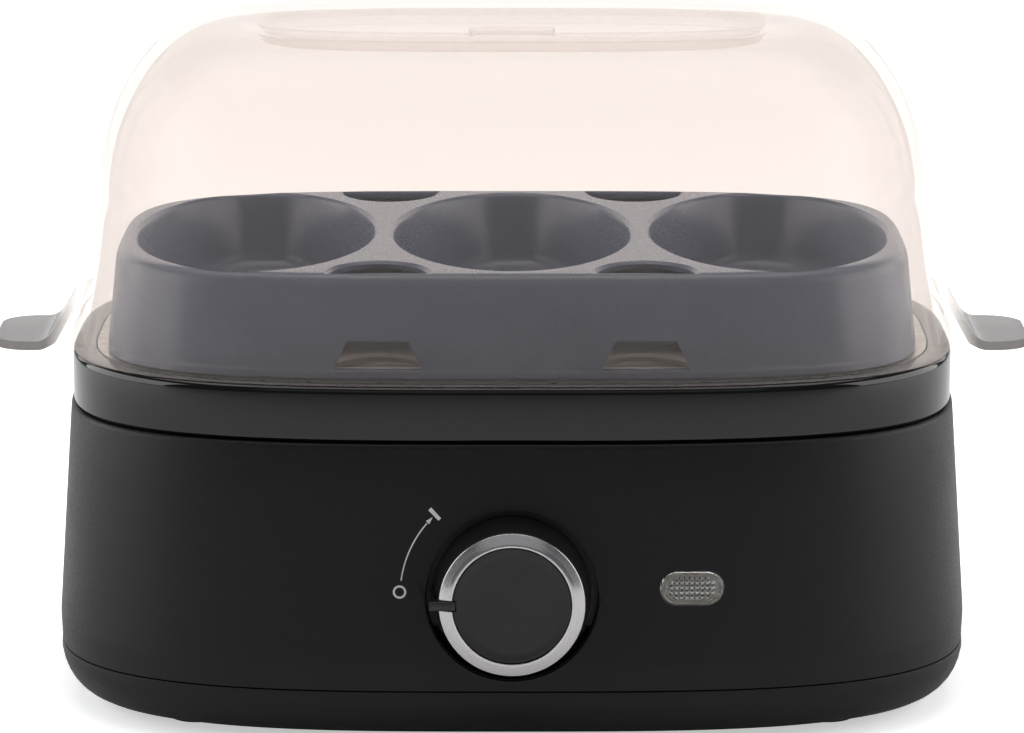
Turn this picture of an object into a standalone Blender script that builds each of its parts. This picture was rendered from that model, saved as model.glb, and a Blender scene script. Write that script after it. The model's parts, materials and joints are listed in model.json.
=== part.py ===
"""Egg cooker: a two-part base with a steel heating pan, a switch knob, two lift-out trays and a clear lid.

Sizes are in millimetres and become metres where the meshes are made. The origin lies on the table
under the middle of the cooker, +Z is up and the front, with the knob, looks along -Y.
"""
import math

import bmesh
import bpy
from mathutils import Matrix, Vector

MM = 0.001

# ---- fits -------------------------------------------------------------------------------------
GAP = 0.3                   # between pieces that touch
SEAM = 0.4                  # shadow line between two casing parts
RING_POINTS = 32            # points round each rounded-rectangle section

# ---- outer casing -----------------------------------------------------------------------------
BODY_WIDTH = 247.0
BODY_DEPTH = 168.0
BODY_POWER = 3.3            # superellipse power of the casing's plan at the seam
RIM_POWER = 3.2             # and at the rim
FOOT_HEIGHT = 2.0
SEAM_Z = 15.0
WIDEST_Z = 22.0
HOUSING_TOP_Z = 80.4
HOUSING_DRAFT = 3.9         # how far the wall leans in on each side from WIDEST_Z to the top
HOUSING_WALL = 2.5
HOUSING_LEDGE = 14.0        # width of the shelf under the bezel
LEDGE_THICKNESS = 2.2
COVER_WALL = 2.4
COVER_ROUND = 10.0          # how far the cover's edge tucks under
TONGUE_HEIGHT = 3.0
TONGUE_WALL = 1.8

# ---- glossy bezel and heating pan -------------------------------------------------------------
BEZEL_TOP_Z = 95.2
BEZEL_INSET = 0.6
BEZEL_WALL = 3.0
BEZEL_LIP = 6.2
BEZEL_LEDGE_Z = 91.4
BEZEL_LEDGE = 14.0
BEZEL_LEDGE_THICKNESS = 2.6
PAN_SHEET = 1.2
PAN_DEPTH = 10.0
PAN_FLANGE = 9.4
PAN_CORNER = 9.0
GASKET_WIDTH = 6.2

# ---- trays ------------------------------------------------------------------------------------
TRAY_INSET = 3.2            # skirt of the poaching tray in from the pan flange's edge
TRAY_HEIGHT = 27.0
TRAY_DRAFT = 2.8
TRAY_WALL = 2.0
TRAY_EDGE_ROUND = 2.6
TRAY_POWER = 3.8
WELL_COUNT = 3
WELL_WEB = 5.8              # between two wells
WELL_SIDE_MARGIN = 4.8
WELL_END_MARGIN = 7.0
WELL_TAPER = 5.0
WELL_WALL = 1.8
WELL_FLOOR_CLEARANCE = 3.0  # above the egg tray
STEAM_RADIUS_X = 13.0
STEAM_DEPTH = 17.0
STEAM_MARGIN = 3.4
WINDOW_HEIGHT = 7.4
WINDOW_TOP_WIDTH = 16.0
WINDOW_BOTTOM_WIDTH = 23.0
WINDOW_SILL = 2.4
EGG_TRAY_PLATE = 2.0
EGG_TRAY_REST = 3.6         # how far its edge lies on the pan's flange
EGG_SEAT_RADIUS = 17.0
EGG_SEAT_WALL = 2.0
EGG_SEAT_DROP = 5.0
EGG_ROW_Y = 28.5

# ---- lid --------------------------------------------------------------------------------------
LID_TOP_Z = 181.0
LID_WALL = 2.5
LID_POWER = 3.3
LID_FLANGE_HEIGHT = 3.6
LID_FLANGE_STEP = 1.4
LID_WALL_DRAFT = 6.2        # from the flange to where the shoulder starts
SHOULDER_HEIGHT = 45.0
SHOULDER_REACH = 32.0
RECESS_WIDTH = 139.0
RECESS_LENGTH = 62.0
RECESS_DEPTH = 3.0
RECESS_POWER = 3.6
VENT_WIDTH = 23.4
VENT_LENGTH = 9.0
HANDLE_REACH = 22.0         # beyond the lid's flange
HANDLE_WIDTH = 38.0
HANDLE_THICKNESS = 2.4
HANDLE_DROP = 10.5          # from its root on the wall down to the flat tab
HANDLE_ROOT_RISE = 9.0      # root above the lid's rim
HANDLE_TIP_ROUND = 10.0

# ---- knob and switch --------------------------------------------------------------------------
KNOB_Z = 41.0
KNOB_REACH = 11.6           # in front of the housing's face
KNOB_BASE_RADIUS = 20.6
KNOB_TOP_RADIUS = 18.9
KNOB_FACE_RADIUS = 15.5
KNOB_RING_HEIGHT = 1.9
KNOB_SHELL = 2.6
KNOB_WELL_CLEARANCE = 1.8      # round the knob's skirt
KNOB_WELL_DEPTH = 2.8
KNOB_WELL_WALL = 2.4
KNOB_HUB_RADIUS = 6.0
POINTER_WIDTH = 2.4
POINTER_INNER = 14.6
POINTER_PROUD = 0.7
SHAFT_RADIUS = 3.0
BUSH_RADIUS = 4.6
BUSH_REACH = 4.4            # of the threaded bush in front of the knob well's floor
SWITCH_NUT_RADIUS = 7.2
SWITCH_NUT_THICKNESS = 2.2
SWITCH_WIDTH = 26.0
SWITCH_HEIGHT = 24.0
SWITCH_DEPTH = 18.0
SHAFT_IN_SWITCH = 8.0

# ---- indicator lamp ---------------------------------------------------------------------------
LENS_X = 46.8
LENS_Z = 42.5
LENS_WIDTH = 16.2
LENS_HEIGHT = 8.6
LENS_PROUD = 0.5
LENS_FLANGE = 1.8
LENS_FLANGE_THICKNESS = 1.2
LAMP_RADIUS = 2.6
LAMP_LENGTH = 9.0
HOLDER_DEPTH = 15.0
HOLDER_WALL = 1.6

# ---- fasteners and feet -----------------------------------------------------------------------
SHANK_RADIUS = 1.5
HEAD_RADIUS = 3.2
HEAD_THICKNESS = 2.0
POST_RADIUS = 4.6
POST_HEIGHT = 30.0
POST_X = 98.0
POST_Y = 40.0
RIB_THICKNESS = 3.0
BOSS_RADIUS = 5.6
BOSS_HEIGHT = 4.0
PILOT_DEPTH = 18.0
BEZEL_BOSS_RADIUS = 3.6
BEZEL_SCREW_REACH = 7.0
FOOT_RADIUS = 8.0
FOOT_X = 84.0
FOOT_Y = 52.0
FOOT_SOCKET = 1.1

# ---- parts under the pan ----------------------------------------------------------------------
ELEMENT_RADIUS = 3.3
ELEMENT_WIDTH = 132.0
ELEMENT_LENGTH = 74.0
ELEMENT_GAP_HALF = 16.0     # half the space between its two ends
ELEMENT_TAIL = 10.0
TERMINAL_RADIUS = 1.8
TERMINAL_LENGTH = 7.0
THERMOSTAT_RADIUS = 8.0
THERMOSTAT_HEIGHT = 7.0
FUSE_X = 34.0
FUSE_RADIUS = 2.2
FUSE_LENGTH = 14.0
CLIP_WIDTH = 6.0
CLIP_SHEET = 0.8

# ---- mains side -------------------------------------------------------------------------------
GLAND_X = 30.0
GLAND_Z = 28.0
GLAND_BORE = 3.4
GLAND_SLEEVE_RADIUS = 5.4
GLAND_COLLAR_RADIUS = 8.0
GLAND_COLLAR = 2.4
GLAND_TIP_RADIUS = 5.2
GLAND_NUT_RADIUS = 8.6
GLAND_NUT_THICKNESS = 3.4
BLOCK_X = 44.0
BLOCK_Y = 42.0
BLOCK_WIDTH = 26.0
BLOCK_LENGTH = 15.0
BLOCK_HEIGHT = 13.0
BUZZER_X = -52.0
BUZZER_Y = 34.0
BUZZER_RADIUS = 11.0
BUZZER_HEIGHT = 9.0
LEAD_RADIUS = 1.1
LEAD_END_GAP = 0.7          # leads meet their terminals at a slight slant

# ---- places worked out from the sizes above ---------------------------------------------------
HALF_X = BODY_WIDTH / 2
HALF_Y = BODY_DEPTH / 2
COVER_FLOOR_Z = FOOT_HEIGHT
COVER_INNER_Z = COVER_FLOOR_Z + COVER_WALL
HOUSING_BOTTOM_Z = SEAM_Z + SEAM
BEZEL_BOTTOM_Z = HOUSING_TOP_Z + SEAM
TOP_INSET = HOUSING_DRAFT + BEZEL_INSET
PAN_EDGE_INSET = TOP_INSET + BEZEL_LIP + GAP
PAN_TOP_Z = BEZEL_TOP_Z
PAN_INNER_INSET = PAN_EDGE_INSET + PAN_FLANGE
PAN_FLOOR_Z = PAN_TOP_Z - PAN_DEPTH
PAN_UNDER_Z = PAN_FLOOR_Z - PAN_SHEET
RIM_Z = BEZEL_TOP_Z + GAP
TRAY_INSET_TOTAL = PAN_EDGE_INSET + TRAY_INSET
TRAY_TOP_Z = RIM_Z + TRAY_HEIGHT
EGG_TRAY_TOP_Z = RIM_Z + EGG_TRAY_PLATE
EGG_TRAY_INSET = PAN_INNER_INSET - EGG_TRAY_REST
TRAY_TOP_HALF_X = HALF_X - TRAY_INSET_TOTAL - TRAY_DRAFT
TRAY_TOP_HALF_Y = HALF_Y - TRAY_INSET_TOTAL - TRAY_DRAFT
WELL_SPAN = 2 * TRAY_TOP_HALF_X - 2 * WELL_SIDE_MARGIN - (WELL_COUNT - 1) * WELL_WEB
WELL_HALF_X = WELL_SPAN / WELL_COUNT / 2
WELL_HALF_Y = TRAY_TOP_HALF_Y - WELL_END_MARGIN
WELL_PITCH = 2 * WELL_HALF_X + WELL_WEB
WELL_UNDER_Z = EGG_TRAY_TOP_Z + WELL_FLOOR_CLEARANCE
ELEMENT_Z = PAN_UNDER_Z - GAP - ELEMENT_RADIUS


def housing_inset(z):
    """How far the casing's wall lies inside its widest outline at height z."""
    rise = max(0.0, z - WIDEST_Z) / (HOUSING_TOP_Z - WIDEST_Z)
    return HOUSING_DRAFT * rise


def casing_power(z):
    """Plan power of the casing at height z, from the seam to the rim."""
    rise = min(1.0, max(0.0, (z - SEAM_Z) / (HOUSING_TOP_Z - SEAM_Z)))
    return BODY_POWER + (RIM_POWER - BODY_POWER) * rise


def front_y(x, z, inset=0.0):
    """Y of the casing's front face at x and z, moved in by inset."""
    half_x = HALF_X - housing_inset(z) - inset
    half_y = HALF_Y - housing_inset(z) - inset
    power = casing_power(z)
    return -half_y * (1 - abs(x / half_x) ** power) ** (1 / power)


FACE_Y = front_y(0.0, KNOB_Z)
WELL_FLOOR_Y = FACE_Y + KNOB_WELL_DEPTH
KNOB_FRONT_Y = FACE_Y - KNOB_REACH
KNOB_HEIGHT = WELL_FLOOR_Y - GAP - KNOB_FRONT_Y
KNOB_WELL_RADIUS = KNOB_BASE_RADIUS + KNOB_WELL_CLEARANCE

PARTS = None
CUTTERS = None


# ---- scene, materials and shape helpers ---------------------------------------------------------
def clear_scene():
    for old in list(bpy.data.objects):
        bpy.data.objects.remove(old, do_unlink=True)


def new_collection(name):
    made = bpy.data.collections.new(name)
    bpy.context.scene.collection.children.link(made)
    return made


def material(name, colour, rough, metallic=0.0, alpha=1.0):
    made = bpy.data.materials.new(name)
    made.use_nodes = True
    shader = made.node_tree.nodes["Principled BSDF"]
    shader.inputs["Base Color"].default_value = (*colour, 1.0)
    shader.inputs["Roughness"].default_value = rough
    shader.inputs["Metallic"].default_value = metallic
    shader.inputs["Alpha"].default_value = alpha
    return made


def add_object(name, data, finish=None):
    """Put a mesh or curve in the cooker, or among the cutters when it has no finish."""
    made = bpy.data.objects.new(name, data)
    if finish is None:
        CUTTERS.objects.link(made)
        made.hide_render = True
        made.display_type = "WIRE"
    else:
        PARTS.objects.link(made)
        data.materials.append(finish)
    return made


def from_bmesh(name, bm, finish=None):
    bmesh.ops.recalc_face_normals(bm, faces=bm.faces)
    data = bpy.data.meshes.new(name)
    bm.to_mesh(data)
    bm.free()
    data.shade_smooth()
    data.set_sharp_from_angle(angle=math.radians(35))
    return add_object(name, data, finish)


def section(half_x, half_y, power, z, x=0.0):
    """One level of a loft: a superellipse round (x, 0) at height z."""
    points = []
    for step in range(RING_POINTS):
        turn = 2 * math.pi * step / RING_POINTS
        across = math.copysign(abs(math.cos(turn)) ** (2 / power), math.cos(turn))
        along = math.copysign(abs(math.sin(turn)) ** (2 / power), math.sin(turn))
        points.append(Vector((x + half_x * across, half_y * along, z)) * MM)
    return points


def inset_section(inset, power, z):
    """A section of the casing's outline moved in by inset."""
    return section(HALF_X - inset, HALF_Y - inset, power, z)


def add_loft(bm, sections, ring=False):
    """Skin the sections in order; a ring joins the last to the first, anything else gets two end faces."""
    levels = [[bm.verts.new(point) for point in level] for level in sections]
    pairs = list(zip(levels, levels[1:]))
    if ring:
        pairs.append((levels[-1], levels[0]))
    for low, high in pairs:
        for step in range(RING_POINTS):
            following = (step + 1) % RING_POINTS
            bm.faces.new((low[step], low[following], high[following], high[step]))
    if not ring:
        bm.faces.new(levels[0])
        bm.faces.new(levels[-1])


def loft(name, sections, finish=None, ring=False):
    bm = bmesh.new()
    add_loft(bm, sections, ring)
    return from_bmesh(name, bm, finish)


def add_cylinder(bm, radius, start, end, segments=20, end_radius=None):
    """A cylinder or cone between two points."""
    start = Vector(start) * MM
    end = Vector(end) * MM
    span = end - start
    place = Matrix.Translation((start + end) / 2) @ span.to_track_quat("Z", "Y").to_matrix().to_4x4()
    top = radius if end_radius is None else end_radius
    bmesh.ops.create_cone(bm, cap_ends=True, segments=segments, radius1=radius * MM,
                          radius2=top * MM, depth=span.length, matrix=place)


def cylinders(name, rods, finish=None, segments=20):
    """One object holding a cylinder for each (radius, start, end)."""
    bm = bmesh.new()
    for radius, start, end in rods:
        add_cylinder(bm, radius, start, end, segments)
    return from_bmesh(name, bm, finish)


def add_box(bm, low, high):
    low = Vector(low) * MM
    high = Vector(high) * MM
    size = high - low
    place = Matrix.Translation((low + high) / 2) @ Matrix.Diagonal((*size, 1.0))
    bmesh.ops.create_cube(bm, size=1.0, matrix=place)


def boxes(name, corners, finish=None, bevel=0.0):
    bm = bmesh.new()
    for low, high in corners:
        add_box(bm, low, high)
    made = from_bmesh(name, bm, finish)
    if bevel:
        rounding = made.modifiers.new("edges", "BEVEL")
        rounding.width = bevel * MM
        rounding.segments = 2
    return made


def turned(name, profile, finish=None, steps=28):
    """A closed profile of (radius, height), down its outer side, turned round Z."""
    data = bpy.data.meshes.new(name)
    points = [(radius * MM, 0.0, height * MM) for radius, height in profile]
    last = len(points) - 1
    edges = [(step, step + 1) for step in range(last)]
    if profile[0][0] > 0.0 or profile[-1][0] > 0.0:
        edges.append((last, 0))
    data.from_pydata(points, edges, [])
    made = add_object(name, data, finish)
    screw = made.modifiers.new("turn", "SCREW")
    screw.axis = "Z"
    screw.steps = steps
    screw.render_steps = steps
    screw.use_merge_vertices = True
    screw.merge_threshold = 0.00001
    screw.use_smooth_shade = True
    return made


def face_front(made, x, y, z):
    """Turn a piece made along +Z so that it points out of the front, along -Y."""
    made.rotation_euler = (math.radians(90), 0.0, 0.0)
    made.location = Vector((x, y, z)) * MM


def face_back(made, x, y, z):
    made.rotation_euler = (math.radians(-90), 0.0, 0.0)
    made.location = Vector((x, y, z)) * MM


def boolean(made, other, operation):
    change = made.modifiers.new(operation.lower(), "BOOLEAN")
    change.operation = operation
    change.solver = "EXACT"
    change.object = other
    return made


def obround(name, centre, width, height, depth, finish=None):
    """A slot-shaped block along Y: two half-round ends and straight sides, depth long."""
    bm = bmesh.new()
    outline = []
    radius = height / 2
    arm = width / 2 - radius
    arc_steps = 10
    for side in (1, -1):
        for step in range(arc_steps + 1):
            turn = math.pi * step / arc_steps - math.pi / 2
            outline.append((side * (arm + radius * math.cos(turn)), side * radius * math.sin(turn)))
    base = [bm.verts.new(Vector((centre[0] + x, centre[1] - depth / 2, centre[2] + z)) * MM)
            for x, z in outline]
    face = bm.faces.new(base)
    grown = bmesh.ops.extrude_face_region(bm, geom=[face])
    moved = [item for item in grown["geom"] if isinstance(item, bmesh.types.BMVert)]
    bmesh.ops.translate(bm, verts=moved, vec=(0.0, depth * MM, 0.0))
    return from_bmesh(name, bm, finish)


def wire(name, points, radius, finish):
    """A round lead or tube along a list of points."""
    curve = bpy.data.curves.new(name, "CURVE")
    curve.dimensions = "3D"
    spline = curve.splines.new("POLY")
    spline.points.add(len(points) - 1)
    for point, place in zip(spline.points, points):
        point.co = (*(Vector(place) * MM), 1.0)
    curve.bevel_depth = radius * MM
    curve.bevel_resolution = 2
    curve.use_fill_caps = True
    return add_object(name, curve, finish)


def smooth_path(corners, pieces=2):
    """Points of a Catmull-Rom curve through the corners, straight between the two at each end."""
    path = [Vector(corners[0])]
    for before, start, end, after in zip(corners, corners[1:], corners[2:], corners[3:]):
        before, start, end, after = (Vector(point) for point in (before, start, end, after))
        for step in range(pieces):
            t = step / pieces
            path.append(0.5 * (2 * start + (end - before) * t
                               + (2 * before - 5 * start + 4 * end - after) * t ** 2
                               + (3 * start - before - 3 * end + after) * t ** 3))
    return path + [Vector(corners[-2]), Vector(corners[-1])]


def quarter(count, whole=True):
    """Fractions (across, up) along a quarter ellipse that starts level and ends upright."""
    turns = [math.pi / 2 * step / count for step in range(count + 1 if whole else count)]
    return [(math.sin(turn), 1 - math.cos(turn)) for turn in turns]


# ---- base -----------------------------------------------------------------------------------------
def post_places():
    return [(x, y) for x in (-POST_X, POST_X) for y in (-POST_Y, POST_Y)]


def foot_places():
    return [(x, y) for x in (-FOOT_X, FOOT_X) for y in (-FOOT_Y, FOOT_Y)]


def bezel_screw_places():
    middle = TOP_INSET + BEZEL_LEDGE - BEZEL_BOSS_RADIUS - GAP
    return [(HALF_X - middle, 0.0), (middle - HALF_X, 0.0), (0.0, HALF_Y - middle), (0.0, middle - HALF_Y)]


def make_bottom_cover(finish):
    sections = []
    rise = SEAM_Z - COVER_FLOOR_Z
    arc_steps = 3
    for across, up in quarter(arc_steps):
        sections.append(inset_section(COVER_ROUND * (1 - across), BODY_POWER, COVER_FLOOR_Z + rise * up))
    tongue_outer = HOUSING_WALL + GAP
    tongue_inner = tongue_outer + TONGUE_WALL
    tongue_top = HOUSING_BOTTOM_Z + TONGUE_HEIGHT
    sections.append(inset_section(tongue_outer, BODY_POWER, SEAM_Z))
    sections.append(inset_section(tongue_outer, BODY_POWER, tongue_top))
    sections.append(inset_section(tongue_inner, BODY_POWER, tongue_top))
    sections.append(inset_section(tongue_inner, BODY_POWER, SEAM_Z - COVER_WALL))
    for across, up in reversed(quarter(arc_steps, whole=False)):
        sections.append(inset_section(tongue_inner + COVER_ROUND * (1 - across), BODY_POWER,
                                      COVER_INNER_Z + (rise - 2 * COVER_WALL) * up))
    cover = loft("bottom_cover", sections, finish)
    boss_top = COVER_INNER_Z + BOSS_HEIGHT
    boss_bottom = COVER_FLOOR_Z + COVER_WALL / 2
    bosses = cylinders("cover_bosses", [(BOSS_RADIUS, (x, y, boss_bottom), (x, y, boss_top))
                                        for x, y in post_places()])
    boolean(cover, bosses, "UNION")
    seats = []
    for x, y in post_places():
        seats.append((SHANK_RADIUS + GAP, (x, y, COVER_FLOOR_Z - 1), (x, y, boss_top + 1)))
    boolean(cover, cylinders("cover_screw_holes", seats), "DIFFERENCE")
    counterbores = [(HEAD_RADIUS + GAP, (x, y, COVER_FLOOR_Z - 1), (x, y, counterbore_top()))
                    for x, y in post_places()]
    boolean(cover, cylinders("cover_counterbores", counterbores), "DIFFERENCE")
    sockets = [(FOOT_RADIUS + GAP, (x, y, COVER_FLOOR_Z - 1), (x, y, COVER_FLOOR_Z + FOOT_SOCKET + GAP))
               for x, y in foot_places()]
    boolean(cover, cylinders("foot_sockets", sockets), "DIFFERENCE")
    clear_of_pad = KNOB_WELL_RADIUS + KNOB_WELL_WALL + 2 * GAP
    notch = cylinders("tongue_notch", [(clear_of_pad, (0, FACE_Y - 3, KNOB_Z), (0, FACE_Y + 15, KNOB_Z))])
    boolean(cover, notch, "DIFFERENCE")
    return cover


def counterbore_top():
    return COVER_FLOOR_Z + 1.0 + HEAD_THICKNESS + GAP


def make_screws(stem, places, head_bottom, length, finish):
    """Pan-head screws pointing up, one object for each place, heads at head_bottom."""
    for number, (x, y) in enumerate(places, 1):
        profile = [(0.0, length), (SHANK_RADIUS, length), (SHANK_RADIUS, HEAD_THICKNESS),
                   (HEAD_RADIUS, HEAD_THICKNESS), (HEAD_RADIUS, 0.0), (0.0, 0.0)]
        screw = turned(f"{stem}_{number}", profile, finish, 12)
        screw.location = Vector((x, y, head_bottom)) * MM


def make_cover_screws(finish):
    head_bottom = counterbore_top() - GAP - HEAD_THICKNESS
    tip = COVER_INNER_Z + BOSS_HEIGHT + PILOT_DEPTH - 4.0
    make_screws("cover_screw", post_places(), head_bottom, tip - head_bottom, finish)


def make_feet(finish):
    names = ("foot_front_left", "foot_back_left", "foot_front_right", "foot_back_right")
    for name, (x, y) in zip(names, foot_places()):
        edge = 0.8
        top = COVER_FLOOR_Z + FOOT_SOCKET
        profile = [(0.0, top), (FOOT_RADIUS, top), (FOOT_RADIUS, edge), (FOOT_RADIUS - edge, 0.0), (0.0, 0.0)]
        foot = turned(name, profile, finish, 20)
        foot.location = Vector((x, y, 0.0)) * MM


def make_housing(finish):
    top = HOUSING_TOP_Z
    edge = 1.2
    under_ledge = top - LEDGE_THICKNESS
    sections = [inset_section(0.3, BODY_POWER, HOUSING_BOTTOM_Z),
                inset_section(0.0, casing_power(WIDEST_Z), WIDEST_Z)]
    wall_levels = 2
    for step in range(1, wall_levels):
        z = WIDEST_Z + (top - edge - WIDEST_Z) * step / wall_levels
        sections.append(inset_section(housing_inset(z), casing_power(z), z))
    sections.append(inset_section(housing_inset(top - edge), RIM_POWER, top - edge))
    sections.append(inset_section(HOUSING_DRAFT + edge, RIM_POWER, top))
    sections.append(inset_section(TOP_INSET + HOUSING_LEDGE, RIM_POWER, top))
    sections.append(inset_section(TOP_INSET + HOUSING_LEDGE, RIM_POWER, under_ledge))
    sections.append(inset_section(HOUSING_DRAFT + HOUSING_WALL, RIM_POWER, under_ledge))
    z = (WIDEST_Z + under_ledge) / 2
    sections.append(inset_section(housing_inset(z) + HOUSING_WALL, casing_power(z), z))
    sections.append(inset_section(HOUSING_WALL, casing_power(WIDEST_Z), WIDEST_Z))
    sections.append(inset_section(HOUSING_WALL, BODY_POWER, HOUSING_BOTTOM_Z))
    housing = loft("housing", sections, finish, ring=True)
    add_housing_posts(housing)
    add_knob_well(housing)
    add_lens_hole(housing)
    gland_hole = cylinders("gland_hole", [(GLAND_SLEEVE_RADIUS + GAP, (GLAND_X, HALF_Y - 12, GLAND_Z),
                                           (GLAND_X, HALF_Y + 5, GLAND_Z))])
    boolean(housing, gland_hole, "DIFFERENCE")
    reach = GLAND_COLLAR_RADIUS + 1
    flat = boxes("gland_flat", [((GLAND_X - reach, gland_face_y(), GLAND_Z - reach),
                                 (GLAND_X + reach, HALF_Y + 5, GLAND_Z + reach))])
    boolean(housing, flat, "DIFFERENCE")
    ledge_holes = [(SHANK_RADIUS + GAP, (x, y, under_ledge - 1), (x, y, top + 1))
                   for x, y in bezel_screw_places()]
    boolean(housing, cylinders("ledge_holes", ledge_holes, segments=16), "DIFFERENCE")
    return housing


def add_housing_posts(housing):
    bottom = COVER_INNER_Z + BOSS_HEIGHT + GAP
    bm = bmesh.new()
    for x, y in post_places():
        add_cylinder(bm, POST_RADIUS, (x, y, bottom), (x, y, bottom + POST_HEIGHT))
    boolean(housing, from_bmesh("screw_posts", bm), "UNION")
    ribs = []
    rib_bottom = HOUSING_BOTTOM_Z + TONGUE_HEIGHT + 2 * GAP
    for x, y in post_places():
        side = math.copysign(1.0, x)
        wall_x = side * wall_half_x(y, rib_bottom + POST_HEIGHT / 2)
        low_x, high_x = sorted((x, wall_x))
        ribs.append(((low_x, y - RIB_THICKNESS / 2, rib_bottom),
                     (high_x, y + RIB_THICKNESS / 2, bottom + POST_HEIGHT - 1.0)))
    boolean(housing, boxes("post_ribs", ribs), "UNION")
    pilots = [(SHANK_RADIUS + GAP, (x, y, bottom - 1), (x, y, bottom + PILOT_DEPTH))
              for x, y in post_places()]
    boolean(housing, cylinders("post_pilots", pilots, segments=16), "DIFFERENCE")


def wall_half_x(y, z):
    """Half width of the middle of the housing's wall at depth y and height z."""
    inset = housing_inset(z) + HOUSING_WALL / 2
    power = casing_power(z)
    return (HALF_X - inset) * (1 - abs(y / (HALF_Y - inset)) ** power) ** (1 / power)


def add_knob_well(housing):
    pad_back = WELL_FLOOR_Y + KNOB_WELL_WALL
    pad = cylinders("knob_pad", [(KNOB_WELL_RADIUS + KNOB_WELL_WALL, (0, FACE_Y + 2.0, KNOB_Z),
                                  (0, pad_back, KNOB_Z))], segments=40)
    boolean(housing, pad, "UNION")
    well = cylinders("knob_well", [(KNOB_WELL_RADIUS, (0, WELL_FLOOR_Y, KNOB_Z), (0, FACE_Y - 6, KNOB_Z))],
                     segments=40)
    boolean(housing, well, "DIFFERENCE")
    hole = cylinders("bush_hole", [(BUSH_RADIUS + GAP, (0, WELL_FLOOR_Y - 1, KNOB_Z),
                                    (0, pad_back + 1, KNOB_Z))])
    boolean(housing, hole, "DIFFERENCE")


def lens_face_y():
    return front_y(LENS_X, LENS_Z)


def add_lens_hole(housing):
    hole = obround("lens_hole", (LENS_X, lens_face_y(), LENS_Z),
                   LENS_WIDTH + 2 * GAP, LENS_HEIGHT + 2 * GAP, 16.0)
    boolean(housing, hole, "DIFFERENCE")
    seat_y = lens_seat_y()
    seat = obround("lens_seat", (LENS_X, seat_y + 4.0, LENS_Z), LENS_WIDTH + 2 * (LENS_FLANGE + GAP),
                   LENS_HEIGHT + 2 * (LENS_FLANGE + GAP), 8.0)
    boolean(housing, seat, "DIFFERENCE")


def lens_seat_y():
    """Flat seat for the lens flange, cut in the wall's curved inner face."""
    edge_x = LENS_X + LENS_WIDTH / 2 + LENS_FLANGE
    return front_y(edge_x, LENS_Z, 1.0)


def make_bezel(finish):
    chamfer = 1.2
    top = BEZEL_TOP_Z
    under = BEZEL_LEDGE_Z - BEZEL_LEDGE_THICKNESS
    outline = [
        (TOP_INSET + 0.5, BEZEL_BOTTOM_Z),
        (TOP_INSET, BEZEL_BOTTOM_Z + 0.8),
        (TOP_INSET, top - chamfer),
        (TOP_INSET + 0.35 * chamfer, top - 0.35 * chamfer),
        (TOP_INSET + chamfer, top),
        (TOP_INSET + BEZEL_LIP, top),
        (TOP_INSET + BEZEL_LIP, BEZEL_LEDGE_Z),
        (TOP_INSET + BEZEL_LEDGE, BEZEL_LEDGE_Z),
        (TOP_INSET + BEZEL_LEDGE, under),
        (TOP_INSET + BEZEL_WALL, under),
        (TOP_INSET + BEZEL_WALL, BEZEL_BOTTOM_Z),
    ]
    bezel = loft("bezel_ring", [inset_section(inset, RIM_POWER, z) for inset, z in outline],
                 finish, ring=True)
    bosses = [(BEZEL_BOSS_RADIUS, (x, y, BEZEL_BOTTOM_Z), (x, y, BEZEL_LEDGE_Z - BEZEL_LEDGE_THICKNESS / 2))
              for x, y in bezel_screw_places()]
    boolean(bezel, cylinders("bezel_bosses", bosses), "UNION")
    pilot_top = BEZEL_BOTTOM_Z + BEZEL_SCREW_REACH + GAP
    pilots = [(SHANK_RADIUS + GAP, (x, y, BEZEL_BOTTOM_Z - 1), (x, y, pilot_top))
              for x, y in bezel_screw_places()]
    boolean(bezel, cylinders("bezel_pilots", pilots, segments=16), "DIFFERENCE")
    return bezel


def make_bezel_screws(finish):
    head_bottom = HOUSING_TOP_Z - LEDGE_THICKNESS - GAP - HEAD_THICKNESS
    length = BEZEL_BOTTOM_Z + BEZEL_SCREW_REACH - head_bottom
    make_screws("bezel_screw", bezel_screw_places(), head_bottom, length, finish)


# ---- pan and what hangs under it --------------------------------------------------------------------
def make_pan(finish):
    flange_under = PAN_TOP_Z - PAN_SHEET
    outer = PAN_INNER_INSET - PAN_SHEET
    arc_steps = 2
    sections = []
    drop = flange_under - PAN_UNDER_Z
    for across, up in quarter(arc_steps):
        sections.append(inset_section(outer + PAN_CORNER * (1 - across), RIM_POWER, PAN_UNDER_Z + drop * up))
    sections.append(inset_section(PAN_EDGE_INSET, RIM_POWER, flange_under))
    sections.append(inset_section(PAN_EDGE_INSET, RIM_POWER, PAN_TOP_Z))
    for across, up in reversed(quarter(arc_steps)):
        sections.append(inset_section(PAN_INNER_INSET + PAN_CORNER * (1 - across), RIM_POWER,
                                      PAN_FLOOR_Z + PAN_DEPTH * up))
    return loft("heating_pan", sections, finish)


def make_gasket(finish):
    low = BEZEL_LEDGE_Z + GAP
    high = PAN_TOP_Z - PAN_SHEET - GAP
    outer = PAN_EDGE_INSET + GAP
    outline = [(outer, low), (outer, high), (outer + GASKET_WIDTH, high), (outer + GASKET_WIDTH, low)]
    return loft("pan_gasket", [inset_section(inset, RIM_POWER, z) for inset, z in outline], finish, ring=True)


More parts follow.
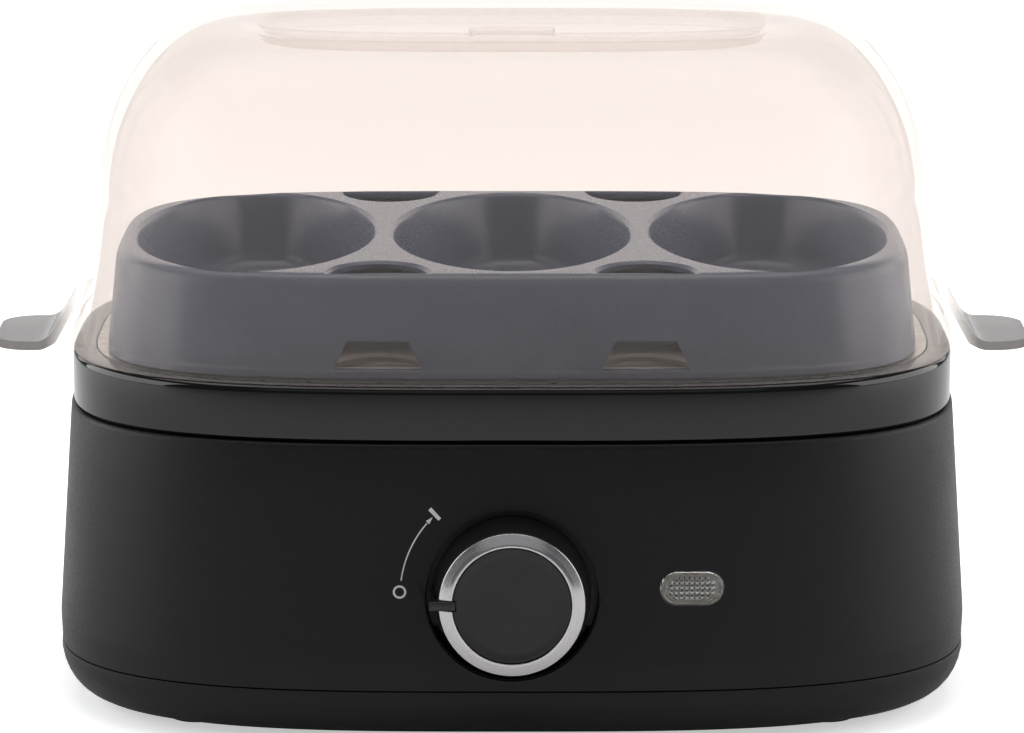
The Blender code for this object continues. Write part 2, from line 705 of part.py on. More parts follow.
def element_path():
    """Open oval under the pan, its two ends turned down at the back."""
    half_x = ELEMENT_WIDTH / 2
    half_y = ELEMENT_LENGTH / 2
    corner = half_y * 0.8
    path = [(ELEMENT_GAP_HALF, half_y, ELEMENT_Z - ELEMENT_TAIL), (ELEMENT_GAP_HALF, half_y, ELEMENT_Z - 3.0),
            (ELEMENT_GAP_HALF + 3.0, half_y, ELEMENT_Z)]
    arc_steps = 4
    centres = ((half_x - corner, half_y - corner, 90), (half_x - corner, corner - half_y, 0),
               (corner - half_x, corner - half_y, -90), (corner - half_x, half_y - corner, -180))
    for centre_x, centre_y, start in centres:
        for step in range(arc_steps + 1):
            turn = math.radians(start - 90 * step / arc_steps)
            path.append((centre_x + corner * math.cos(turn), centre_y + corner * math.sin(turn), ELEMENT_Z))
    path += [(-x, y, z) for x, y, z in reversed(path[:3])]
    return path


def make_element(finish):
    return wire("heating_element", element_path(), ELEMENT_RADIUS, finish)


def terminal_top():
    return ELEMENT_Z - ELEMENT_TAIL - GAP


def make_element_terminals(finish):
    y = ELEMENT_LENGTH / 2
    for name, x in (("element_terminal_left", -ELEMENT_GAP_HALF),
                    ("element_terminal_right", ELEMENT_GAP_HALF)):
        cylinders(name, [(TERMINAL_RADIUS, (x, y, terminal_top() - TERMINAL_LENGTH), (x, y, terminal_top()))],
                  finish, 16)


def make_thermostat(finish):
    top = PAN_UNDER_Z - GAP
    waist = top - THERMOSTAT_HEIGHT
    profile = [(0.0, top), (THERMOSTAT_RADIUS, top), (THERMOSTAT_RADIUS, top - 2.0),
               (THERMOSTAT_RADIUS - 1.2, top - 2.4), (THERMOSTAT_RADIUS - 1.2, waist), (0.0, waist)]
    return turned("thermostat", profile, finish, 20)


def make_thermal_fuse(finish):
    z = PAN_UNDER_Z - GAP - FUSE_RADIUS
    half = FUSE_LENGTH / 2
    return cylinders("thermal_fuse", [(FUSE_RADIUS, (FUSE_X, -half, z), (FUSE_X, half, z))], finish, 20)


def make_fuse_clip(finish):
    """Spring strip round the fuse, with a foot on each side against the pan."""
    top = PAN_UNDER_Z - GAP
    bend = FUSE_RADIUS + GAP + CLIP_SHEET / 2
    centre = top - FUSE_RADIUS
    line = [(-bend - 5.0, top - CLIP_SHEET / 2), (-bend, top - CLIP_SHEET / 2), (-bend, centre)]
    arc_steps = 6
    for step in range(1, arc_steps):
        turn = math.pi + math.pi * step / arc_steps
        line.append((bend * math.cos(turn), centre + bend * math.sin(turn)))
    line += [(bend, centre), (bend, top - CLIP_SHEET / 2), (bend + 5.0, top - CLIP_SHEET / 2)]
    bm = bmesh.new()
    rows = []
    for y in (-CLIP_WIDTH / 2, CLIP_WIDTH / 2):
        rows.append([bm.verts.new(Vector((FUSE_X + x, y, z)) * MM) for x, z in line])
    for step in range(len(line) - 1):
        bm.faces.new((rows[0][step], rows[0][step + 1], rows[1][step + 1], rows[1][step]))
    clip = from_bmesh("fuse_clip", bm, finish)
    sheet = clip.modifiers.new("sheet", "SOLIDIFY")
    sheet.thickness = CLIP_SHEET * MM
    sheet.offset = 0.0
    return clip


# ---- knob, switch and lamp ----------------------------------------------------------------------------
def make_knob(finish):
    """Hollow knob with a hub; height 0 is its rim, just clear of the well's floor."""
    seat = KNOB_HEIGHT - KNOB_RING_HEIGHT
    roof = seat - KNOB_SHELL
    hub_end = BUSH_REACH + 1.2
    profile = [
        (0.0, seat), (KNOB_TOP_RADIUS, seat), (KNOB_BASE_RADIUS, 0.9), (KNOB_BASE_RADIUS - 0.3, 0.0),
        (KNOB_BASE_RADIUS - KNOB_SHELL, 0.0), (KNOB_TOP_RADIUS - KNOB_SHELL, roof), (KNOB_HUB_RADIUS, roof),
        (KNOB_HUB_RADIUS, hub_end), (SHAFT_RADIUS + GAP, hub_end), (SHAFT_RADIUS + GAP, roof), (0.0, roof),
    ]
    knob = turned("knob", profile, finish, 28)
    low = (-KNOB_BASE_RADIUS - POINTER_PROUD, -POINTER_WIDTH / 2, 1.2)
    high = (-POINTER_INNER, POINTER_WIDTH / 2, KNOB_HEIGHT + 0.2)
    rib = boxes("pointer_rib", [(low, high)])
    slope = boxes("rib_hollow", [((-KNOB_TOP_RADIUS - 1.0, -POINTER_WIDTH, -1.0),
                                  (-POINTER_INNER + 1, POINTER_WIDTH, roof + 0.6))])
    boolean(rib, slope, "DIFFERENCE")
    rib.parent = knob
    slope.parent = knob
    boolean(knob, rib, "UNION")
    face_front(knob, 0.0, WELL_FLOOR_Y - GAP, KNOB_Z)
    return knob


def make_knob_ring(finish):
    """Bevelled metal ring round the knob's face, cut through where the pointer passes."""
    seat = KNOB_HEIGHT - KNOB_RING_HEIGHT + GAP
    profile = [(KNOB_FACE_RADIUS + 0.5, KNOB_HEIGHT), (KNOB_TOP_RADIUS, seat + 0.5), (KNOB_TOP_RADIUS, seat),
               (KNOB_FACE_RADIUS, seat), (KNOB_FACE_RADIUS, KNOB_HEIGHT)]
    ring = turned("knob_ring", profile, finish, 28)
    notch = boxes("pointer_notch", [((-KNOB_BASE_RADIUS - 2, -POINTER_WIDTH / 2 - GAP, seat - 1),
                                     (-POINTER_INNER + 1, POINTER_WIDTH / 2 + GAP, KNOB_HEIGHT + 2))])
    notch.parent = ring
    boolean(ring, notch, "DIFFERENCE")
    face_front(ring, 0.0, WELL_FLOOR_Y - GAP, KNOB_Z)
    return ring


def make_knob_cap(finish):
    seat = KNOB_HEIGHT - KNOB_RING_HEIGHT + GAP
    radius = KNOB_FACE_RADIUS - GAP
    face = KNOB_HEIGHT - 0.5
    profile = [(0.0, face - 0.3), (radius - 2.0, face - 0.2), (radius, face), (radius, seat), (0.0, seat)]
    cap = turned("knob_cap", profile, finish, 28)
    notch = boxes("cap_notch", [((-KNOB_BASE_RADIUS, -POINTER_WIDTH / 2 - GAP, seat - 1),
                                 (-POINTER_INNER + GAP, POINTER_WIDTH / 2 + GAP, KNOB_HEIGHT + 2))])
    notch.parent = cap
    boolean(cap, notch, "DIFFERENCE")
    face_front(cap, 0.0, WELL_FLOOR_Y - GAP, KNOB_Z)
    return cap


def switch_face_y():
    return WELL_FLOOR_Y + KNOB_WELL_WALL + GAP


def make_switch_shaft(finish):
    roof = KNOB_HEIGHT - KNOB_RING_HEIGHT - KNOB_SHELL
    start = WELL_FLOOR_Y - GAP - roof + GAP
    end = switch_face_y() + SHAFT_IN_SWITCH
    shaft = cylinders("switch_shaft", [(SHAFT_RADIUS, (0, start, 0), (0, end, 0))], finish, 24)
    shaft.location = Vector((0.0, 0.0, KNOB_Z)) * MM
    return shaft


def make_switch_body(finish):
    face = switch_face_y()
    low = (-SWITCH_WIDTH / 2, face, KNOB_Z - SWITCH_HEIGHT / 2)
    high = (SWITCH_WIDTH / 2, face + SWITCH_DEPTH, KNOB_Z + SWITCH_HEIGHT / 2)
    body = boxes("switch_body", [(low, high)], finish)
    bush = cylinders("switch_bush", [(BUSH_RADIUS, (0, WELL_FLOOR_Y - BUSH_REACH, KNOB_Z),
                                      (0, face + 2, KNOB_Z))])
    boolean(body, bush, "UNION")
    bore = cylinders("switch_bore", [(SHAFT_RADIUS + GAP, (0, WELL_FLOOR_Y - BUSH_REACH - 1, KNOB_Z),
                                      (0, face + SHAFT_IN_SWITCH + GAP, KNOB_Z))])
    boolean(body, bore, "DIFFERENCE")
    return body


def make_switch_nut(finish):
    inner = BUSH_RADIUS + GAP
    low = GAP
    high = GAP + SWITCH_NUT_THICKNESS
    profile = [(SWITCH_NUT_RADIUS, high), (SWITCH_NUT_RADIUS, low), (inner, low), (inner, high)]
    nut = turned("switch_nut", profile, finish, 24)
    face_front(nut, 0.0, WELL_FLOOR_Y, KNOB_Z)
    return nut


def make_lens(finish):
    front = lens_face_y() - LENS_PROUD
    seat = lens_seat_y() + GAP
    middle = (front + seat + LENS_FLANGE_THICKNESS) / 2
    body = obround("indicator_lens", (LENS_X, middle, LENS_Z), LENS_WIDTH, LENS_HEIGHT,
                   seat + LENS_FLANGE_THICKNESS - front, finish)
    flange = obround("lens_flange", (LENS_X, seat + LENS_FLANGE_THICKNESS / 2, LENS_Z),
                     LENS_WIDTH + 2 * LENS_FLANGE, LENS_HEIGHT + 2 * LENS_FLANGE, LENS_FLANGE_THICKNESS)
    boolean(body, flange, "UNION")
    return body


def holder_face_y():
    """Clear of both the lens flange and the wall's inner face at the holder's far corner."""
    behind_flange = lens_seat_y() + 2 * GAP + LENS_FLANGE_THICKNESS
    corner_x = LENS_X + LENS_WIDTH / 2 + LENS_FLANGE
    corner_z = LENS_Z + LENS_HEIGHT / 2 + LENS_FLANGE
    return max(behind_flange, front_y(corner_x, corner_z, HOUSING_WALL) + 2 * GAP)


def make_lamp_holder(finish):
    face = holder_face_y()
    half_width = LENS_WIDTH / 2 + LENS_FLANGE
    half_height = LENS_HEIGHT / 2 + LENS_FLANGE
    back = face + HOLDER_DEPTH
    holder = boxes("lamp_holder", [((LENS_X - half_width, face, LENS_Z - half_height),
                                    (LENS_X + half_width, back, LENS_Z + half_height))], finish)
    half_width -= HOLDER_WALL
    half_height -= HOLDER_WALL
    hollow = boxes("holder_hollow", [((LENS_X - half_width, face - 1, LENS_Z - half_height),
                                      (LENS_X + half_width, back - HOLDER_WALL, LENS_Z + half_height))])
    boolean(holder, hollow, "DIFFERENCE")
    return holder


def make_lamp(finish):
    back = holder_face_y() + HOLDER_DEPTH - HOLDER_WALL - GAP
    dome = LAMP_RADIUS * 0.8
    profile = [(0.0, LAMP_LENGTH), (LAMP_RADIUS * 0.6, LAMP_LENGTH - dome * 0.25),
               (LAMP_RADIUS, LAMP_LENGTH - dome), (LAMP_RADIUS, 0.0), (0.0, 0.0)]
    lamp = turned("indicator_lamp", profile, finish, 20)
    face_front(lamp, LENS_X, back, LENS_Z)
    return lamp


# ---- mains inlet, terminal block, buzzer and leads ------------------------------------------------------
def gland_face_y():
    """Flat pad cut on the back wall for the gland's collar."""
    return -front_y(GLAND_X + GLAND_COLLAR_RADIUS, GLAND_Z, 0.4)


def gland_inner_y():
    """Where the housing's inner face comes furthest in over the nut."""
    return -front_y(GLAND_X + GLAND_NUT_RADIUS, GLAND_Z + GLAND_NUT_RADIUS, HOUSING_WALL)


def make_gland(finish):
    """Sleeve through the back wall; it reaches as far out as the knob does in front."""
    tip = -KNOB_FRONT_Y - gland_face_y()
    inner = gland_inner_y() - gland_face_y()
    tail = inner + 2 * GAP - GLAND_NUT_THICKNESS - 2.0
    outer = GLAND_SLEEVE_RADIUS
    profile = [(GLAND_TIP_RADIUS, tip), (GLAND_TIP_RADIUS + 0.8, GLAND_COLLAR + GAP + 1.0),
               (GLAND_COLLAR_RADIUS, GLAND_COLLAR + GAP), (GLAND_COLLAR_RADIUS, GAP),
               (outer, GAP), (outer, tail), (GLAND_BORE, tail), (GLAND_BORE, tip)]
    gland = turned("cord_gland", profile, finish, 20)
    face_back(gland, GLAND_X, gland_face_y(), GLAND_Z)
    return gland


def make_gland_nut(finish):
    high = gland_inner_y() - GAP - gland_face_y()
    low = high - GLAND_NUT_THICKNESS
    inner = GLAND_SLEEVE_RADIUS + GAP
    profile = [(GLAND_NUT_RADIUS, high), (GLAND_NUT_RADIUS, low), (inner, low), (inner, high)]
    nut = turned("gland_nut", profile, finish, 20)
    face_back(nut, GLAND_X, gland_face_y(), GLAND_Z)
    return nut


def block_floor():
    return COVER_INNER_Z + GAP


def make_terminal_block(finish):
    low = (BLOCK_X - BLOCK_WIDTH / 2, BLOCK_Y - BLOCK_LENGTH / 2, block_floor())
    high = (BLOCK_X + BLOCK_WIDTH / 2, BLOCK_Y + BLOCK_LENGTH / 2, block_floor() + BLOCK_HEIGHT)
    return boxes("terminal_block", [(low, high)], finish, bevel=0.8)


def make_buzzer(finish):
    floor = COVER_INNER_Z + GAP
    top = floor + BUZZER_HEIGHT
    profile = [(0.0, top - 1.0), (2.0, top - 1.0), (2.0, top), (BUZZER_RADIUS - 0.8, top),
               (BUZZER_RADIUS, top - 0.8), (BUZZER_RADIUS, floor), (0.0, floor)]
    buzzer = turned("buzzer", profile, finish, 20)
    buzzer.location = Vector((BUZZER_X, BUZZER_Y, 0.0)) * MM
    return buzzer


def make_leads(finish):
    """The internal wiring, each end stopping just short of its terminal."""
    clear = GAP + LEAD_RADIUS
    block_top = block_floor() + BLOCK_HEIGHT + LEAD_END_GAP
    switch_back = switch_face_y() + SWITCH_DEPTH + LEAD_END_GAP
    terminal_bottom = terminal_top() - TERMINAL_LENGTH - LEAD_END_GAP
    element_y = ELEMENT_LENGTH / 2
    holder_back = holder_face_y() + HOLDER_DEPTH + LEAD_END_GAP
    buzzer_top = COVER_INNER_Z + GAP + BUZZER_HEIGHT + LEAD_END_GAP
    routes = {
        "lead_live": [(BLOCK_X - 8, BLOCK_Y, block_top), (BLOCK_X - 8, BLOCK_Y, block_top + 6),
                      (20, 10, 24), (6, -30, 30), (6, switch_back + 8, KNOB_Z - 6),
                      (6, switch_back, KNOB_Z - 6)],
        "lead_element": [(-6, switch_back, KNOB_Z + 6), (-6, switch_back + 8, KNOB_Z + 6), (-12, -10, 52),
                         (-ELEMENT_GAP_HALF, element_y, terminal_bottom - 9),
                         (-ELEMENT_GAP_HALF, element_y, terminal_bottom)],
        "lead_neutral": [(BLOCK_X, BLOCK_Y, block_top), (BLOCK_X, BLOCK_Y, block_top + 8), (30, 40, 42),
                         (ELEMENT_GAP_HALF, element_y, terminal_bottom - 9),
                         (ELEMENT_GAP_HALF, element_y, terminal_bottom)],
        "lead_lamp": [(LENS_X, holder_back, LENS_Z), (LENS_X, holder_back + 8, LENS_Z), (52, -10, 32),
                      (BLOCK_X + 8, BLOCK_Y - clear, block_top + 8), (BLOCK_X + 8, BLOCK_Y, block_top)],
        "lead_buzzer": [(6, switch_back, KNOB_Z + 6), (6, switch_back + 8, KNOB_Z + 6), (-22, -14, 34),
                        (BUZZER_X, BUZZER_Y - 4, buzzer_top + 10), (BUZZER_X, BUZZER_Y - 4, buzzer_top)],
    }
    for name, corners in routes.items():
        wire(name, smooth_path(corners), LEAD_RADIUS, finish)


# ---- trays ------------------------------------------------------------------------------------------
def well_centres():
    first = -(WELL_COUNT - 1) / 2
    return [(first + step) * WELL_PITCH for step in range(WELL_COUNT)]


def steam_centres():
    return [centre + WELL_PITCH / 2 for centre in well_centres()[:-1]]


def steam_cutter(name, low_z, high_z):
    """Half-round holes between the wells, flat side out, along the front and back edges."""
    bm = bmesh.new()
    flat_y = TRAY_TOP_HALF_Y - STEAM_MARGIN
    arc_steps = 10
    for x in steam_centres():
        for side in (-1, 1):
            outline = []
            for step in range(arc_steps + 1):
                turn = math.pi * step / arc_steps
                outline.append((x + STEAM_RADIUS_X * math.cos(turn),
                                side * (flat_y - STEAM_DEPTH * math.sin(turn))))
            base = [bm.verts.new(Vector((px, py, low_z)) * MM) for px, py in outline]
            face = bm.faces.new(base)
            grown = bmesh.ops.extrude_face_region(bm, geom=[face])
            moved = [item for item in grown["geom"] if isinstance(item, bmesh.types.BMVert)]
            bmesh.ops.translate(bm, verts=moved, vec=(0.0, 0.0, (high_z - low_z) * MM))
    return from_bmesh(name, bm)


def window_cutter():
    """Slots with sloping ends through the skirt, under each steam hole."""
    bm = bmesh.new()
    reach = HALF_Y
    low = RIM_Z + WINDOW_SILL
    high = low + WINDOW_HEIGHT
    for x in steam_centres():
        outline = [(x - WINDOW_BOTTOM_WIDTH / 2, low), (x + WINDOW_BOTTOM_WIDTH / 2, low),
                   (x + WINDOW_TOP_WIDTH / 2, high), (x - WINDOW_TOP_WIDTH / 2, high)]
        base = [bm.verts.new(Vector((px, -reach, pz)) * MM) for px, pz in outline]
        face = bm.faces.new(base)
        grown = bmesh.ops.extrude_face_region(bm, geom=[face])
        moved = [item for item in grown["geom"] if isinstance(item, bmesh.types.BMVert)]
        bmesh.ops.translate(bm, verts=moved, vec=(0.0, 2 * reach * MM, 0.0))
    return from_bmesh("tray_windows", bm)


def make_poaching_tray(finish):
    top = TRAY_TOP_Z
    edge = TRAY_EDGE_ROUND
    base_inset = TRAY_INSET_TOTAL
    top_inset = base_inset + TRAY_DRAFT
    sections = []
    arc_steps = 3
    for step in range(arc_steps + 1):
        turn = math.pi / 2 * step / arc_steps
        sections.append(inset_section(top_inset + edge * (1 - math.sin(turn)), TRAY_POWER,
                                      top - edge * (1 - math.cos(turn))))
    sections.append(inset_section(base_inset, TRAY_POWER, RIM_Z))
    sections.append(inset_section(base_inset + TRAY_WALL, TRAY_POWER, RIM_Z))
    sections.append(inset_section(top_inset + TRAY_WALL, TRAY_POWER, top - TRAY_WALL))
    tray = loft("poaching_tray", sections, finish)
    outer = bmesh.new()
    inner = bmesh.new()
    for x in well_centres():
        low_x = WELL_HALF_X - WELL_TAPER
        low_y = WELL_HALF_Y - WELL_TAPER
        add_loft(outer, [section(low_x + WELL_WALL, low_y + WELL_WALL, 2.0, WELL_UNDER_Z, x),
                         section(WELL_HALF_X + WELL_WALL, WELL_HALF_Y + WELL_WALL, 2.0,
                                 top - TRAY_WALL / 2, x)])
        add_loft(inner, [section(low_x, low_y, 2.0, WELL_UNDER_Z + WELL_WALL, x),
                         section(WELL_HALF_X, WELL_HALF_Y, 2.0, top + 1.0, x)])
    boolean(tray, window_cutter(), "DIFFERENCE")
    boolean(tray, from_bmesh("well_outsides", outer), "UNION")
    boolean(tray, from_bmesh("well_insides", inner), "DIFFERENCE")
    boolean(tray, steam_cutter("tray_steam_holes", WELL_UNDER_Z + 6.0, top + 1.0), "DIFFERENCE")
    return tray


def make_egg_tray(finish):
    plate = loft("egg_tray", [inset_section(EGG_TRAY_INSET, TRAY_POWER, RIM_Z),
                              inset_section(EGG_TRAY_INSET, TRAY_POWER, EGG_TRAY_TOP_Z)], finish)
    seats = [(x, y) for x in well_centres() for y in (-EGG_ROW_Y, EGG_ROW_Y)]
    bottom = RIM_Z - EGG_SEAT_DROP
    collars = [(EGG_SEAT_RADIUS + EGG_SEAT_WALL, (x, y, bottom), (x, y, RIM_Z + EGG_TRAY_PLATE / 2))
               for x, y in seats]
    boolean(plate, cylinders("seat_collars", collars, segments=20), "UNION")
    holes = [(EGG_SEAT_RADIUS, (x, y, bottom - 1), (x, y, EGG_TRAY_TOP_Z + 1)) for x, y in seats]
    boolean(plate, cylinders("seat_holes", holes, segments=20), "DIFFERENCE")
    boolean(plate, steam_cutter("egg_tray_steam_holes", RIM_Z - 1.0, EGG_TRAY_TOP_Z + 1.0), "DIFFERENCE")
    return plate


# ---- lid ----------------------------------------------------------------------------------------------
def lid_wall_sections(inward, rim_z, flange):
    """Levels of the lid from the flat top down to the rim, moved in by inward."""
    top = LID_TOP_Z - inward
    wall_inset = TOP_INSET + LID_FLANGE_STEP + inward
    shoulder_inset = wall_inset + LID_WALL_DRAFT
    sections = []
    arc_steps = 5
    reach = SHOULDER_REACH
    height = SHOULDER_HEIGHT
    for step in range(arc_steps + 1):
        turn = math.pi / 2 * step / arc_steps
        sections.append(inset_section(shoulder_inset + reach * (1 - math.sin(turn)), LID_POWER,
                                      top - height * (1 - math.cos(turn))))
    flange_z = RIM_Z + LID_FLANGE_HEIGHT
    shoulder_z = top - height
    middle = 0.45
    sections.append(inset_section(shoulder_inset - LID_WALL_DRAFT * middle, LID_POWER,
                                  shoulder_z + (flange_z - shoulder_z) * (middle + 0.1)))
    if flange:
        sections.append(inset_section(wall_inset, LID_POWER, flange_z + 0.6))
        sections.append(inset_section(TOP_INSET + 0.3, RIM_POWER, flange_z))
        sections.append(inset_section(TOP_INSET, RIM_POWER, flange_z - 0.4))
        sections.append(inset_section(TOP_INSET, RIM_POWER, rim_z))
    else:
        sections.append(inset_section(wall_inset, LID_POWER, flange_z))
        sections.append(inset_section(TOP_INSET + LID_WALL, RIM_POWER, rim_z))
    return sections


def recess_sections(inward):
    top = LID_TOP_Z - inward
    half_x = RECESS_WIDTH / 2
    half_y = RECESS_LENGTH / 2
    slope = 2.6
    edge = 0.8
    return [
        section(half_x - slope, half_y - slope, RECESS_POWER, top - RECESS_DEPTH),
        section(half_x - edge, half_y - edge, RECESS_POWER, top - edge),
        section(half_x, half_y, RECESS_POWER, top),
    ]


def handle_line():
    """(x, z, half width) along a handle, from its root inside the lid's wall to its tip."""
    flange_x = HALF_X - TOP_INSET
    root_x = flange_x - LID_FLANGE_STEP - LID_WALL * 0.75
    root_z = RIM_Z + HANDLE_ROOT_RISE
    tab_z = root_z - HANDLE_DROP
    tip_x = flange_x + HANDLE_REACH
    half = HANDLE_WIDTH / 2
    neck = flange_x - LID_FLANGE_STEP
    line = [(root_x, root_z, half), (neck + 1.0, root_z - 0.6, half - 0.6),
            (neck + 3.4, root_z - 3.4, half - 1.2), (neck + 6.0, root_z - 7.4, half - 1.2),
            (neck + 8.6, tab_z + 0.6, half - 0.6), (neck + 12.0, tab_z, half)]
    round_steps = 5
    for step in range(round_steps + 1):
        turn = math.radians(82) * step / round_steps
        line.append((tip_x - HANDLE_TIP_ROUND * (1 - math.sin(turn)), tab_z,
                     half - HANDLE_TIP_ROUND * (1 - math.cos(turn))))
    return line


def make_handle_blank(side):
    """One handle as a sheet along its line, thickened; it is joined to the lid."""
    bm = bmesh.new()
    across_steps = 4
    rows = []
    for x, z, half in handle_line():
        rows.append([bm.verts.new(Vector((side * x, half * (2 * step / across_steps - 1), z)) * MM)
                     for step in range(across_steps + 1)])
    for low, high in zip(rows, rows[1:]):
        for step in range(across_steps):
            bm.faces.new((low[step], low[step + 1], high[step + 1], high[step]))
    blank = from_bmesh("handle_blank_right" if side > 0 else "handle_blank_left", bm)
    sheet = blank.modifiers.new("thickness", "SOLIDIFY")
    sheet.thickness = HANDLE_THICKNESS * MM
    sheet.offset = 0.0
    return blank


def make_lid(finish):
    outside = recess_sections(0.0) + lid_wall_sections(0.0, RIM_Z, True)
    inside = recess_sections(LID_WALL) + lid_wall_sections(LID_WALL, RIM_Z, False)
    lid = loft("lid", outside + list(reversed(inside)), finish)
    for side in (-1, 1):
        boolean(lid, make_handle_blank(side), "UNION")
    vent = obround("vent_slot", (0.0, 0.0, 0.0), VENT_WIDTH, VENT_LENGTH, 12.0)
    vent.rotation_euler = (math.radians(90), 0.0, 0.0)
    vent.location = Vector((0.0, 0.0, LID_TOP_Z - RECESS_DEPTH - LID_WALL / 2)) * MM
    boolean(lid, vent, "DIFFERENCE")
    return lid


# ---- assembly -----------------------------------------------------------------------------------------
def main():
    global PARTS, CUTTERS
    clear_scene()
    PARTS = new_collection("egg_cooker")
    CUTTERS = new_collection("cutters")
    smoke = material("clear smoke polycarbonate", (0.78, 0.72, 0.70), 0.08, alpha=0.35)
    slate = material("slate blue-grey polypropylene", (0.12, 0.13, 0.16), 0.32)
    pale = material("pale stone polypropylene", (0.45, 0.42, 0.40), 0.35)
    gloss = material("black gloss ABS", (0.006, 0.006, 0.007), 0.06)
    matt = material("black spark-textured polypropylene", (0.016, 0.015, 0.018), 0.48)
    steel = material("brushed stainless steel", (0.62, 0.60, 0.57), 0.28, metallic=1.0)
    satin = material("satin chrome", (0.66, 0.64, 0.66), 0.24, metallic=1.0)
    zinc = material("zinc-plated steel", (0.55, 0.55, 0.57), 0.35, metallic=1.0)
    rubber = material("black rubber", (0.02, 0.02, 0.02), 0.8)
    silicone = material("grey silicone", (0.3, 0.3, 0.3), 0.6)
    clear = material("clear polycarbonate lens", (0.75, 0.75, 0.8), 0.05, alpha=0.4)
    nylon = material("white nylon", (0.7, 0.7, 0.66), 0.45)
    sheath = material("silicone-sheathed lead", (0.55, 0.54, 0.5), 0.5)
    glass = material("lamp glass", (0.7, 0.45, 0.3), 0.05, alpha=0.5)
    make_bottom_cover(matt)
    make_cover_screws(zinc)
    make_feet(rubber)
    make_housing(matt)
    make_bezel(gloss)
    make_bezel_screws(zinc)
    make_pan(steel)
    make_gasket(silicone)
    make_element(steel)
    make_element_terminals(zinc)
    make_thermostat(zinc)
    make_thermal_fuse(nylon)
    make_fuse_clip(zinc)
    make_knob(matt)
    make_knob_ring(satin)
    make_knob_cap(matt)
    make_switch_shaft(zinc)
    make_switch_body(nylon)
    make_switch_nut(zinc)
    make_lens(clear)
    make_lamp_holder(nylon)
    make_lamp(glass)
    make_gland(rubber)
    make_gland_nut(nylon)
    make_terminal_block(nylon)
    make_buzzer(matt)
    make_leads(sheath)
    make_egg_tray(pale)
    make_poaching_tray(slate)
    make_lid(smoke)


main()
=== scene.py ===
import json
import math

import bpy
from mathutils import Matrix, Vector


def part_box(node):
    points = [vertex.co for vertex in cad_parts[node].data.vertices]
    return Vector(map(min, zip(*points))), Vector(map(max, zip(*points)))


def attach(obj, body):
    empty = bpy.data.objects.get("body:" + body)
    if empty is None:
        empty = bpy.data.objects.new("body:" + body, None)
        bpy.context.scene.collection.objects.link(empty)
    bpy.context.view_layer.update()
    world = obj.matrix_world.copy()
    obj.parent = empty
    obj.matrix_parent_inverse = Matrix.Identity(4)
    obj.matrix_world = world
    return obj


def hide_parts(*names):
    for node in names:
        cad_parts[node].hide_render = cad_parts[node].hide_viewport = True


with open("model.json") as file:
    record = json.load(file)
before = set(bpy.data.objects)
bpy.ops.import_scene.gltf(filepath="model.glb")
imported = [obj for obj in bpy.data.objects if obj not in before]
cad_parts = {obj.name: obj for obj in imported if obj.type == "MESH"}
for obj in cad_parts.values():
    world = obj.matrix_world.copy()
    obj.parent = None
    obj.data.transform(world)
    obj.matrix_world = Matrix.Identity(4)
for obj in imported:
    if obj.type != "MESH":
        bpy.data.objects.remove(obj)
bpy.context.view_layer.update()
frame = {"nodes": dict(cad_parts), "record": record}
nodes = frame["nodes"]

# ---- sizes in metres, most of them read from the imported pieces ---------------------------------
MM = 0.001
GAP = 0.3 * MM
LOOP = 144                       # points round each moulded outline
BODY_POWER = 3.25                # how square the casing's plan is
TRAY_POWER = 3.8
casing_low, casing_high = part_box("housing")
HALF_X = casing_high.x
HALF_Y = HALF_X * 84.0 / 123.5
SEAM_Z = casing_low.z
WIDEST_Z = 22.0 * MM
CASING_TOP = casing_high.z
DRAFT = 3.9 * MM
_, bezel_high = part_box("bezel_ring")
TOP_INSET = HALF_X - bezel_high.x
_, tray_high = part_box("poaching_tray")
_, lid_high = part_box("lid")
KNOB_Z = 41.0 * MM
FACE_Y = -82.73 * MM             # casing's face behind the knob
PITCH = 69.733 * MM              # from one well to the next
WELL_X, WELL_Y = 31.97 * MM, 60.0 * MM
STEAM_FLAT = (tray_high.y - 2.8 * MM) - 3.4 * MM
LENS_X, LENS_Z = 46.8 * MM, 42.5 * MM


